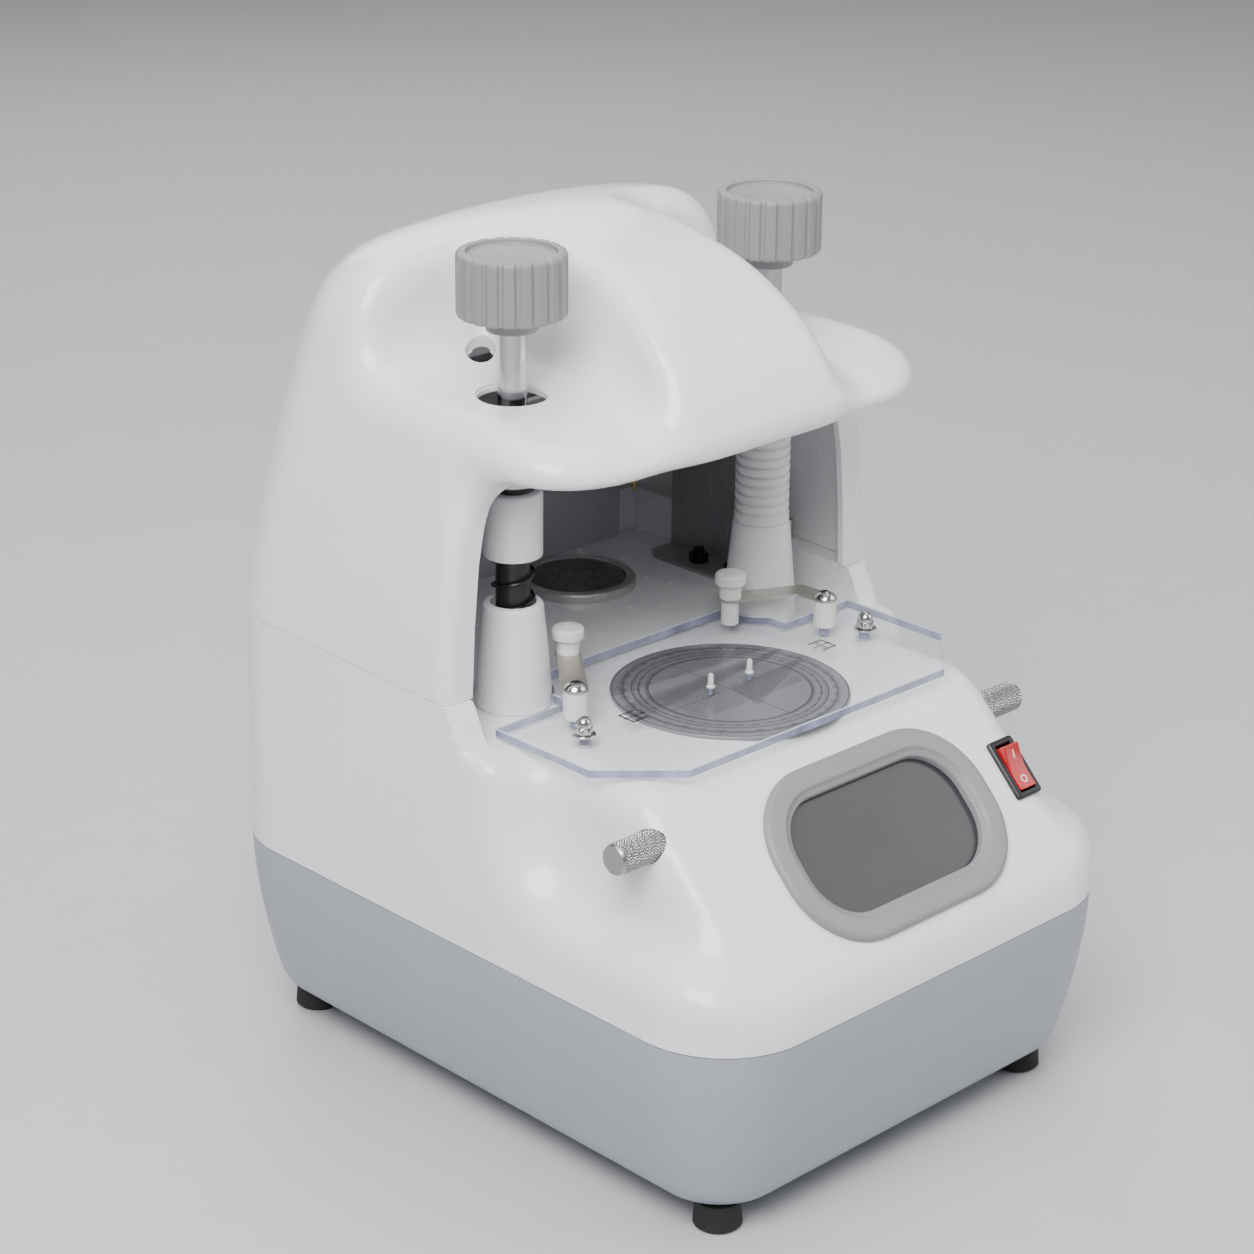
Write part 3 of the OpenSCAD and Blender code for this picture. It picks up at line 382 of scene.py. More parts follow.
FINISHES: dict[str, Finish] = {
    "case_white": Finish((0.865, 0.87, 0.885), 0.25, coat=0.35, grain=0.9, relief=0.003, wander=0.012),
    "tub_paint": Finish((0.34, 0.355, 0.41), 0.40, coat=0.1, grain=0.45, relief=0.012, wander=0.02),
    "foot_rubber": Finish((0.012, 0.012, 0.012), 0.75, grain=0.4, relief=0.03),
    "zinc_steel": Finish((0.60, 0.59, 0.57), 0.30, 1.0, grain=0.6, relief=0.004),
    "bezel_grey": Finish((0.25, 0.257, 0.265), 0.46, grain=0.4, relief=0.012, wander=0.02),
    "window_glass": DarkGlass((0.024, 0.023, 0.027), 0.22, coat=0.25),
    "switch_black": Finish((0.012, 0.012, 0.013), 0.38, grain=0.35, relief=0.008),
    "rocker_red": Finish((0.50, 0.008, 0.012), 0.24, coat=0.5, grain=0.5, relief=0.003),
    "mark_white": Finish((0.85, 0.85, 0.85), 0.5),
    "socket_black": Finish((0.015, 0.015, 0.016), 0.5, grain=0.4, relief=0.01),
    "pin_brass": Finish((0.72, 0.52, 0.22), 0.28, 1.0),
    "board_green": Finish((0.01, 0.11, 0.035), 0.4),
    "core_steel": Finish((0.06, 0.06, 0.065), 0.5),
    "acrylic": Acrylic((0.62, 0.64, 0.72), 0.03, coat=0.5),
    "scale_print": ScalePrint((0.185, 0.187, 0.195), 0.30, coat=0.15),
    "print_ink": Finish((0.01, 0.01, 0.012), 0.45),
    "nylon": Finish((0.80, 0.79, 0.755), 0.42, grain=0.6, relief=0.008, wander=0.02),
    "nickel": Finish((0.66, 0.65, 0.63), 0.16, 1.0, grain=0.8, relief=0.002),
    "strip_steel": Brushed((0.62, 0.59, 0.53), 0.40, 0.85, grain=0.25, relief=0.006, along=1),
    "post_white": Finish((0.78, 0.79, 0.80), 0.34, coat=0.15, grain=0.6, relief=0.004, wander=0.015),
    "core_black": Finish((0.010, 0.010, 0.011), 0.34, grain=0.5, relief=0.005),
    "spring_black": Finish((0.014, 0.014, 0.015), 0.28, 0.4, grain=0.5, relief=0.004),
    "chrome": Finish((0.52, 0.52, 0.53), 0.12, 1.0, grain=0.9, relief=0.0015),
    "bellows_white": Finish((0.76, 0.765, 0.77), 0.52, grain=0.35, relief=0.01, wander=0.03),
    "arm_alloy": Finish((0.55, 0.56, 0.57), 0.34, 1.0, grain=0.35, relief=0.008),
    "pad_rubber": Finish((0.02, 0.02, 0.02), 0.8, grain=0.4, relief=0.03),
    "knob_grey": Finish((0.25, 0.255, 0.26), 0.44, grain=0.35, relief=0.012, wander=0.02),
    "tin_steel": Brushed((0.74, 0.74, 0.74), 0.34, 0.85, grain=0.3, relief=0.004),
    "ink_felt": Finish((0.085, 0.085, 0.09), 0.28, grain=0.6, relief=0.03, wander=0.15),
    "sheet_steel": Brushed((0.50, 0.50, 0.51), 0.46, 0.75, grain=0.3, relief=0.006, along=2),
    "bolt_black": Finish((0.018, 0.018, 0.02), 0.3, 0.7, grain=0.5, relief=0.006),
    "panel_grey": Finish((0.55, 0.555, 0.57), 0.5, grain=0.5, relief=0.01),
    "lamp_black": Finish((0.015, 0.015, 0.016), 0.42, 0.3),
    "led_white": Finish((0.80, 0.80, 0.74), 0.4),
    "lens_glass": Acrylic((0.85, 0.9, 0.95), 0.03, coat=0.5, edge=(0.7, 0.75, 0.8), top_z=1000.0),
    "bush_bronze": Finish((0.45, 0.27, 0.12), 0.4, 1.0, grain=0.4, relief=0.01),
    "mirror": Finish((0.86, 0.88, 0.89), 0.03, 1.0, grain=2.0, relief=0.0003, wander=0.01),
    "alloy_knurl": Finish((0.38, 0.38, 0.38), 0.30, 1.0, grain=0.4, relief=0.006),
    "floor": Finish((0.56, 0.565, 0.575), 0.5, grain=3.0, relief=0.02, wander=0.01),
}


# ---------------------------------------------------------------- mesh helpers


def smooth_max(a: Any, b: Any, blend: float) -> Any:
    """The larger of two fields, with their crossing rounded over about blend."""
    share = np.maximum(blend - np.abs(a - b), 0) / blend
    return np.maximum(a, b) + share * share * blend / 4


def ramp(t: Any) -> Any:
    """A smooth step from 0 to 1."""
    c = np.clip(t, 0, 1)
    return c * c * (3 - 2 * c)


def plan_depth(p: np.ndarray, wide: Any, rear: Any, front: Any, r_rear: float,
               r_front: float) -> np.ndarray:
    """How far points are outside a rounded rectangle in plan.

    Args:
        p: points.
        wide: half width.
        rear: distance of the back.
        front: distance of the front.
        r_rear: corner radius at the back.
        r_front: corner radius at the front.

    Returns:
        The distances, negative inside.
    """
    radius = np.where(p[:, 1] > 0, r_rear, r_front)
    qx = np.abs(p[:, 0]) - (wide - radius)
    qy = np.where(p[:, 1] > 0, p[:, 1] - (rear - radius), -p[:, 1] - (front - radius))
    return np.hypot(np.maximum(qx, 0), np.maximum(qy, 0)) + np.minimum(np.maximum(qx, qy), 0) - radius


def box_mesh(low: Sequence[float], high: Sequence[float]) -> bmesh.types.BMesh:
    """A box between two corners."""
    bm = bmesh.new()
    bmesh.ops.create_cube(bm, size=1.0)
    bmesh.ops.scale(bm, vec=[h - l for l, h in zip(low, high)], verts=bm.verts)
    bmesh.ops.translate(bm, vec=[(h + l) / 2 for l, h in zip(low, high)], verts=bm.verts)
    return bm


def lathe(profile: Profile, steps: int = 96) -> bmesh.types.BMesh:
    """Turns a profile of (radius, height) points round the Z axis.

    Args:
        profile: the points, in order.
        steps: how many facets go round.

    Returns:
        The turned solid.
    """
    bm = bmesh.new()
    verts = [bm.verts.new((r, 0, z)) for r, z in profile]
    edges = [bm.edges.new(pair) for pair in zip(verts, verts[1:])]
    bmesh.ops.spin(bm, geom=verts + edges, cent=(0, 0, 0), axis=(0, 0, 1), angle=FULL_TURN,
                   steps=steps, use_merge=True)
    bmesh.ops.remove_doubles(bm, verts=bm.verts, dist=1e-4)
    bmesh.ops.recalc_face_normals(bm, faces=bm.faces)
    return bm


def arc(centre: tuple[float, float], radius: float, start: float, end: float, steps: int = 5) -> Profile:
    """Points on an arc of a profile, angles in degrees from the +radius direction."""
    angles = [math.radians(start + (end - start) * i / steps) for i in range(steps + 1)]
    return [(centre[0] + radius * math.cos(a), centre[1] + radius * math.sin(a)) for a in angles]


def outline(width: float, height: float, radius: float, corner_steps: int) -> list[Vector]:
    """Points round a rounded rectangle, anticlockwise."""
    points = []
    for quarter, (sx, sy) in enumerate(((1, 1), (-1, 1), (-1, -1), (1, -1))):
        for i in range(corner_steps + 1):
            a = math.radians(90 * (quarter + i / corner_steps))
            points.append(Vector((sx * (width / 2 - radius) + radius * math.cos(a),
                                  sy * (height / 2 - radius) + radius * math.sin(a), 0)))
    return points


def ring_loft(width: float, height: float, radius: float, sections: Profile, hollow: bool,
              corner_steps: int = 14) -> bmesh.types.BMesh:
    """Carries a rounded rectangle through insets and heights.

    Args:
        width: width at inset 0.
        height: height at inset 0.
        radius: corner radius at inset 0.
        sections: (inset, z) pairs, in order.
        hollow: whether the last section joins the first; otherwise both ends are closed.
        corner_steps: facets in a quarter corner.

    Returns:
        The ring or pad.
    """
    bm = bmesh.new()
    loops = []
    for inset, z in sections:
        if not loops:
            verts = [bm.verts.new(p) for p in outline(width, height, radius, corner_steps)]
            edges = [bm.edges.new((verts[i], verts[(i + 1) % len(verts)])) for i in range(len(verts))]
        else:
            grown = bmesh.ops.extrude_edge_only(bm, edges=loops[-1][1])["geom"]
            edges = [e for e in grown if isinstance(e, bmesh.types.BMEdge) and not e.link_faces[1:]]
            found = {v for v in grown if isinstance(v, bmesh.types.BMVert)}
            order = {v: next(e.other_vert(v) for e in v.link_edges if e.other_vert(v) not in found)
                     for v in found}
            verts = sorted(found, key=lambda v: loops[-1][0].index(order[v]))
            edges = [e for e in edges if e.verts[0] in found and e.verts[1] in found]
        corner = max(radius - inset, 0.2)
        for v, p in zip(verts, outline(width - 2 * inset, height - 2 * inset, corner, corner_steps)):
            v.co = p + Vector((0, 0, z))
        loops.append((verts, edges))
    if hollow:
        bmesh.ops.bridge_loops(bm, edges=loops[0][1] + loops[-1][1])
    else:
        for verts, _ in (loops[0], loops[-1]):
            bm.faces.new(verts)
    bmesh.ops.recalc_face_normals(bm, faces=bm.faces)
    return bm


def joined(*parts: bmesh.types.BMesh) -> bmesh.types.BMesh:
    """Puts several meshes in one."""
    whole = bmesh.new()
    for part in parts:
        mesh = bpy.data.meshes.new("part")
        part.to_mesh(mesh)
        part.free()
        whole.from_mesh(mesh)
        bpy.data.meshes.remove(mesh)
    return whole


def copies(bm: bmesh.types.BMesh, places: Sequence[Matrix]) -> bmesh.types.BMesh:
    """Repeats a mesh at several places."""
    parts = []
    for place in places:
        part = bm.copy()
        bmesh.ops.transform(part, matrix=place, verts=part.verts)
        parts.append(part)
    bm.free()
    return joined(*parts)


def both_sides(bm: bmesh.types.BMesh) -> bmesh.types.BMesh:
    """A mesh and its mirror image across the middle."""
    twin = bm.copy()
    bmesh.ops.scale(twin, vec=(-1, 1, 1), verts=twin.verts)
    bmesh.ops.reverse_faces(twin, faces=twin.faces)
    return joined(bm, twin)


def worked(bm: bmesh.types.BMesh, *modifiers: tuple[str, dict[str, Any]]) -> bmesh.types.BMesh:
    """Passes a mesh through modifiers and returns the result.

    Args:
        bm: the mesh, which is used up.
        modifiers: each a type and its settings.

    Returns:
        The worked mesh.
    """
    mesh = bpy.data.meshes.new("blank")
    bm.to_mesh(mesh)
    bm.free()
    blank = bpy.data.objects.new("blank", mesh)
    bpy.context.scene.collection.objects.link(blank)
    for kind, settings in modifiers:
        modifier = blank.modifiers.new(kind, kind)
        for key, value in settings.items():
            setattr(modifier, key, value)
    shaped = blank.evaluated_get(bpy.context.evaluated_depsgraph_get())
    result = bmesh.new()
    result.from_mesh(shaped.to_mesh())
    bpy.data.objects.remove(blank)
    bpy.data.meshes.remove(mesh)
    return result


def cut(bm: bmesh.types.BMesh, *tools: bmesh.types.BMesh) -> bmesh.types.BMesh:
    """Takes the tools' shapes away from a closed mesh."""
    for tool in tools:
        mesh = bpy.data.meshes.new("tool")
        tool.to_mesh(mesh)
        tool.free()
        blade = bpy.data.objects.new("tool", mesh)
        bpy.context.scene.collection.objects.link(blade)
        bm = worked(bm, ("BOOLEAN", {"operation": "DIFFERENCE", "object": blade, "solver": "MANIFOLD"}))
        bpy.data.objects.remove(blade)
        bpy.data.meshes.remove(mesh)
    return bm


def moved(bm: bmesh.types.BMesh, place: Matrix) -> bmesh.types.BMesh:
    """Moves a mesh to its place."""
    bmesh.ops.transform(bm, matrix=place, verts=bm.verts)
    return bm


def at(x: float, y: float, z: float = 0.0) -> Matrix:
    """A plain shift."""
    return Matrix.Translation((x, y, z))


# ---------------------------------------------------------------- the three mouldings


@dataclass
class Moulding:
    """A thin-walled moulding whose outer skin is where depth() is zero."""

    centre: tuple[float, float, float]
    voxel: float = 2.6
    wall: float = 3.0

    def depth(self, p: np.ndarray) -> np.ndarray:
        """How far points are outside the full skin, negative inside."""
        raise NotImplementedError

    def blank_depth(self, p: np.ndarray) -> np.ndarray:
        """The same for the plain blank that the skin is carved from."""
        return self.depth(p)

    def blank(self) -> bmesh.types.BMesh:
        """The blank: a ball whose points are pushed out to the skin, each along its own ray."""
        bm = bmesh.new()
        bmesh.ops.create_icosphere(bm, subdivisions=6, radius=1.0)
        ways = np.array([v.co for v in bm.verts])
        near, far = np.zeros(len(ways)), np.full(len(ways), 320.0)
        for _ in range(26):
            middle = (near + far) / 2
            outside = self.blank_depth(np.array(self.centre) + ways * middle[:, None]) > 0
            near, far = np.where(outside, near, middle), np.where(outside, middle, far)
        for v, way, reach in zip(bm.verts, ways, near):
            v.co = Vector(self.centre) + Vector(way * reach)
        return bm

    def settled(self, bm: bmesh.types.BMesh) -> bmesh.types.BMesh:
        """Evens out the points of a remeshed blank and draws them on to the true skin."""
        bm.verts.ensure_lookup_table()
        points = np.array([v.co for v in bm.verts])
        ends = np.array([[v.index for v in e.verts] for e in bm.edges])
        count = np.bincount(ends.ravel(), minlength=len(points))[:, None]
        for turn in range(14):
            if turn < 10:
                total = np.zeros_like(points)
                np.add.at(total, ends[:, 0], points[ends[:, 1]])
                np.add.at(total, ends[:, 1], points[ends[:, 0]])
                points += 0.5 * (total / count - points)
            for _ in range(2):
                points = self.drawn(points)
        for v, p in zip(bm.verts, points):
            v.co = p
        return bm

    def drawn(self, points: np.ndarray) -> np.ndarray:
        """One step of the points towards the skin."""
        step = 0.05
        slope = np.stack([(self.depth(points + step * axis) - self.depth(points - step * axis)) / (2 * step)
                          for axis in np.eye(3)], axis=1)
        size = np.maximum((slope ** 2).sum(1), 0.05)
        return points - slope * np.clip(self.depth(points) / size, -3, 3)[:, None]

    def skin(self, *carving: bmesh.types.BMesh) -> bmesh.types.BMesh:
        """The closed outer skin, carved roughly by the tools and then drawn on to the true one."""
        bm = self.blank()
        if carving:
            bm = cut(bm, *carving)
        return self.settled(worked(bm, ("REMESH", {"mode": "VOXEL", "voxel_size": self.voxel})))

    def opened(self, bm: bmesh.types.BMesh, height: float, up: Vector) -> bmesh.types.BMesh:
        """Cuts away one side of a level or tilted plane and leaves it open."""
        bmesh.ops.bisect_plane(bm, geom=bm.verts[:] + bm.edges[:] + bm.faces[:], dist=0.01,
                               plane_co=(0, 0, height), plane_no=up, clear_outer=True)
        return bm

    def walled(self, bm: bmesh.types.BMesh) -> bmesh.types.BMesh:
        """Gives an open skin its wall, inwards."""
        return worked(bm, ("SOLIDIFY", {"thickness": self.wall, "offset": -1.0,
                                        "use_even_offset": False}))


@dataclass
class Case:
    """Sizes that the tub, lower housing and hood share."""

    half_w: float = 124.0
    half_d: float = 156.5
    corner: float = 42.0
    floor_z: float = 12.0
    seam_z: float = 89.0
    deck_z: float = 175.0
    rim_z: float = 193.0
    rim_rise: float = 4.0
    rim_w: float = 13.0
    bay_depth: float = 134.0
    rear_lean: float = 1.5
    deck_front: float = 88.0
    face_foot: tuple[float, float] = (-152.0, 107.0)
    face_head: tuple[float, float] = (-88.0, 172.0)

    def rear_at(self, z: Any) -> Any:
        """Distance of the lower housing's back at a height."""
        return self.half_d - self.rear_lean * (z - self.seam_z) / (self.rim_z - self.seam_z)

    @property
    def slope(self) -> float:
        """Angle of the sloping face from level, in radians."""
        return math.atan2(self.face_head[1] - self.face_foot[1], self.face_head[0] - self.face_foot[0])

    def on_slope(self, x: float, y: float, out: float = 0.0) -> Matrix:
        """A place on the sloping face: x across, y up the slope, z out of it."""
        z = self.face_head[1] + math.tan(self.slope) * (y - self.face_head[0])
        return Matrix.Translation((x, y, z)) @ Matrix.Rotation(self.slope, 4, "X") @ at(0, 0, out)

    @property
    def split(self) -> Vector:
        """Upward normal of the parting plane between lower housing and hood."""
        return Vector((0, -self.rim_rise / self.half_d, 1)).normalized()


@dataclass
class Tub(Moulding):
    """The blue-grey tub under the seam."""

    centre: tuple[float, float, float] = (0.0, 0.0, 60.0)
    case: Case = field(default_factory=Case)
    inset: float = 13.8
    voxel: float = 3.0

    def depth(self, p: np.ndarray) -> np.ndarray:
        """Plan that draws in towards a rounded bottom edge."""
        c = self.case
        share = np.clip((p[:, 2] - c.floor_z) / (c.seam_z - c.floor_z), 0, 1)
        inset = self.inset * (1 - share) ** 1.8
        plan = plan_depth(p, c.half_w, c.half_d, c.half_d, c.corner, c.corner) + inset
        return smooth_max(smooth_max(plan, c.floor_z - p[:, 2], 12.0), p[:, 2] - c.seam_z - 20, 1.0)

    def build(self) -> bmesh.types.BMesh:
        """The tub, open at the seam."""
        return self.walled(self.opened(self.skin(), self.case.seam_z - 0.25, Vector((0, 0, 1))))


@dataclass
class LowerHousing(Moulding):
    """The white lower housing: deck, sloping face, side recesses and the feet of the side walls."""

    centre: tuple[float, float, float] = (0.0, 10.0, 110.0)
    case: Case = field(default_factory=Case)
    recess_y: float = 30.0
    recess_x: float = 102.0
    recess_z: float = 119.0
    step_run: float = 12.0

    def depth(self, p: np.ndarray) -> np.ndarray:
        """Plan, top and sloping face, less the two recesses."""
        c = self.case
        y, z = p[:, 1], p[:, 2]
        plan = plan_depth(p, c.half_w, c.rear_at(z), c.half_d, c.corner, c.corner)
        top = z - (c.deck_z + (c.rim_z - c.deck_z) * ramp((y + self.step_run) / self.step_run)
                   + 40 * ramp((y + 2) / 6))
        face = math.cos(c.slope) * (z - c.face_head[1]) - math.sin(c.slope) * (y - c.face_head[0])
        body = smooth_max(smooth_max(plan, top, 5.0), face, 10.0)
        body = smooth_max(body, c.seam_z - 20 - z, 1.0)
        corner = smooth_max(y + self.recess_y, self.recess_z - z, 46.0)
        recess = smooth_max(corner, self.recess_x - np.abs(p[:, 0]), 20.0)
        return smooth_max(body, -recess, 16.0)

    def build(self, window: "Window", switch: "Switch", columns: "Columns", inlet: "Inlet",
              plate: "ScalePlate", knobs: "SideKnobs") -> bmesh.types.BMesh:
        """The housing with its rim, bay and openings.

        Args:
            window: gives the opening in the sloping face.
            switch: gives its own opening.
            columns: give the holes that the posts stand over.
            inlet: gives the opening in the back.
            plate: gives the hole under the scale disc.
            knobs: give the holes in the recesses.

        Returns:
            The walled and cut moulding.
        """
        c = self.case
        bay = c.half_w - c.rim_w
        top = box_mesh((-200, -60, 0), (200, 200, 80))
        lean = Matrix(((1, 0, 0, 0), (0, 1, 0, 0), (0, c.rim_rise / c.half_d, 1, c.rim_z - 1.0), (0,
            0, 0, 1)))
        skin = cut(self.skin(), moved(top, lean))
        skin = cut(skin, box_mesh((-bay, -self.step_run - 24, c.deck_z), (bay, c.bay_depth, 300)))
        shell = self.walled(self.opened(skin, c.seam_z + 0.25, Vector((0, 0, -1))))
        return cut(shell, window.opening(c), switch.opening(c), inlet.opening(), plate.opening(),
                   *columns.openings(), *knobs.openings())


@dataclass
class Hood(Moulding):
    """The white hood: crown, nose, the two shelves and the visor."""

    centre: tuple[float, float, float] = (0.0, 85.0, 215.0)
    case: Case = field(default_factory=Case)
    crown_z: float = 361.0
    shelf_z: float = 307.0
    visor_z: float = 286.0
    visor_reach: float = 62.0
    nose_w: float = 37.0
    shelf_back: float = 70.0
    hole_r: float = 14.0

    def wide_at(self, z: np.ndarray) -> np.ndarray:
        """Half width at a height."""
        d = np.maximum(z - self.case.rim_z, 0)
        return self.case.half_w - 0.03 * d - 0.0008 * d * d

    def rear_at(self, z: np.ndarray) -> np.ndarray:
        """Distance of the back at a height."""
        d = np.maximum(z - self.case.rim_z, 0)
        return self.case.half_d - self.case.rear_lean - 0.215 * d * d / (d + 15)

    def blank_depth(self, p: np.ndarray) -> np.ndarray:
        """Plan and crown, less the two scoops."""
        x, y, z = np.abs(p[:, 0]), p[:, 1], p[:, 2]
        plan = plan_depth(p, self.wide_at(z), self.rear_at(z), self.visor_reach, self.case.corner,
                          self.case.corner + 3)
        crown = (self.crown_z - 37 * (np.maximum(60 - y, 0) / 103) ** 2.9
                 - 5 * (np.maximum(y - 65, 0) / 50) ** 2 - 5 * (x / 75) ** 2)
        body = smooth_max(smooth_max(plan, z - crown, 26.0), self.case.rim_z - 30 - z, 1.0)
        nose = self.nose_w + 0.155 * np.maximum(10 - y, 0) + 0.1 * np.maximum(y - 10, 0)
        shelf = self.shelf_z + 0.06 * np.maximum(y - 16, 0) - 0.0035 * np.minimum(y, 0) ** 2
        scoop = smooth_max(smooth_max(shelf - z, y - self.shelf_back, 24.0), nose - x, 22.0)
        return smooth_max(body, -scoop, 14.0)

    def depth(self, p: np.ndarray) -> np.ndarray:
        """The blank less the space in front of the side walls and under the visor."""
        void = smooth_max(p[:, 1], p[:, 2] - self.visor_z, 26.0)
        high = ramp((p[:, 2] - 250) / 32)
        share = np.maximum(1 - np.abs(self.blank_depth(p) + void) / (5 + 9 * high), 0)
        return np.maximum(self.blank_depth(p), -void) + share * share * (5 + 9 * high) / 4

    def build(self, columns: "Columns") -> bmesh.types.BMesh:
        """The hood with its bay opening and holes."""
        c = self.case
        front = box_mesh((-200, -100, 100), (200, 0, self.visor_z))
        skin = self.opened(self.skin(front), c.rim_z - 0.65, -c.split)
        shell = self.walled(skin)
        return cut(shell, self.bay(), *columns.hood_holes(self))

    def height_at(self, x: float, y: float) -> float:
        """Height of the outer skin above a place on a shelf."""
        heights = np.linspace(self.visor_z + 6, self.crown_z, 2000)
        points = np.stack([np.full_like(heights, x), np.full_like(heights, y), heights], axis=1)
        return float(heights[np.argmax(self.blank_depth(points) > 0)])

    def bay(self) -> bmesh.types.BMesh:
        """The opening between the side walls, which leans in upwards and ends under the visor."""
        half = self.case.half_w - self.case.rim_w
        bm = bmesh.new()
        side = [(half, self.case.rim_z - 30), (half - 3, 222), (half - 5.5, 248), (half - 9, 266)]
        side += arc((half - 25, 268), 15.5, 0, 90, 6)
        points = [Vector((x, -46, z)) for x, z in side] + [Vector((-x, -46, z)) for x,
                                                           z in reversed(side)]
        face = bm.faces.new([bm.verts.new(p) for p in points])
        grown = bmesh.ops.extrude_face_region(bm, geom=[face])["geom"]
        bmesh.ops.translate(bm, vec=(0, 90, 0), verts=[v for v in grown if isinstance(v,
            bmesh.types.BMVert)])
        bmesh.ops.recalc_face_normals(bm, faces=bm.faces)
        return bm


# ---------------------------------------------------------------- the workshop


class Unit:
    """The whole object: the frame, its finishes and the pieces made so far."""

    def __init__(self, frame: dict[str, Any]) -> None:
        """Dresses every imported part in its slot's finish."""
        self.frame = frame
        self.materials: dict[str, bpy.types.Material] = {}
        slots = {s["node"]: s["material_slot"] for s in frame["record"]["subparts"]}
        for node, part in frame["nodes"].items():
            part.data.materials.clear()
            part.data.materials.append(self.finish(slots[node]))

    def finish(self, slot: str) -> bpy.types.Material:
        """The material of a slot, made once."""
        if slot not in self.materials:
            self.materials[slot] = FINISHES[slot].material(slot)
        return self.materials[slot]

    def add(self, name: str, bm: bmesh.types.BMesh, body: str, slot: str, replaces: Sequence[str] = (),
            finish: str = "", sharp: float = 32.0) -> bpy.types.Object:
        """Finishes a mesh as a piece that rides on a body.

        Args:
            name: the piece's name.
            bm: its mesh in millimetres, which is used up.
            body: the body that it rides on.
            slot: the record's material slot.
            replaces: CAD nodes that it stands for.
            finish: the finish, where it isn't the slot's own.
            sharp: edges that turn by more than this many degrees stay crisp.

        Returns:
            The piece.
        """
        bmesh.ops.scale(bm, vec=(MM, MM, MM), verts=bm.verts)
        mesh = bpy.data.meshes.new(name)
        bm.to_mesh(mesh)
        bm.free()
        mesh.shade_smooth()
        mesh.set_sharp_from_angle(angle=math.radians(sharp))
        mesh.materials.append(self.finish(finish or slot))
        piece = bpy.data.objects.new(name, mesh)
        bpy.context.scene.collection.objects.link(piece)
        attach(piece, body)
        if replaces:
            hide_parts(*replaces)
        LOG.info("%s: %d faces on %s", name, len(mesh.polygons), body)
        return piece


def box_of(node: str) -> tuple[Vector, Vector]:
    """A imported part's box, in millimetres."""
    low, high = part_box(node)
    return low / MM, high / MM


def centre_of(node: str) -> Vector:
    """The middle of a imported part's box, in millimetres."""
    low, high = box_of(node)
    return (low + high) / 2


# ---------------------------------------------------------------- sub-assemblies


@dataclass
class Window:
    """The smoked window and its grey bezel on the sloping face."""

    x: float = 5.0
    y: float = -121.5
    width: float = 124.0
    height: float = 76.0
    ring: float = 12.5
    radius: float = 34.0
    stand: float = 3.2

    def opening(self, case: Case) -> bmesh.types.BMesh:
        """The hole in the housing."""
        pad = ring_loft(self.width - 10, self.height - 10, self.radius - 5, [(0, -16), (0, 16)], False)
        return moved(pad, case.on_slope(self.x, self.y))

    def build(self, unit: Unit, case: Case) -> None:
        """Bezel, its inner step and the glass."""
        r = self.ring
        bezel = ring_loft(self.width, self.height, self.radius, [
            (6, -4), (6, -0.4), (0.1, -0.4), (0, 0.2), (0, 1.5), (0.5, 2.4), (1.5, 3.0), (3.0,
                self.stand),
            (r - 4.2, self.stand), (r - 3.4, 3.0), (r - 3.0, 2.5), (r - 2.4, 1.9), (r - 1.0, 1.5),
            (r - 0.3, 1.1),
            (r, 0.4), (r, -4)], True)
        unit.add("bezel", moved(bezel, case.on_slope(self.x, self.y)), "base", "bezel_grey",
                 ["window_bezel"], sharp=50)
        glass = ring_loft(self.width - 2 * r + 1, self.height - 2 * r + 1, self.radius - r + 0.5,
                          [(0, -4.5), (0, -2.2), (0.4, -1.8), (2, -1.6)], False)
        unit.add("window_pane", moved(glass, case.on_slope(self.x, self.y)), "base", "window_glass",
                 ["window_glass"])


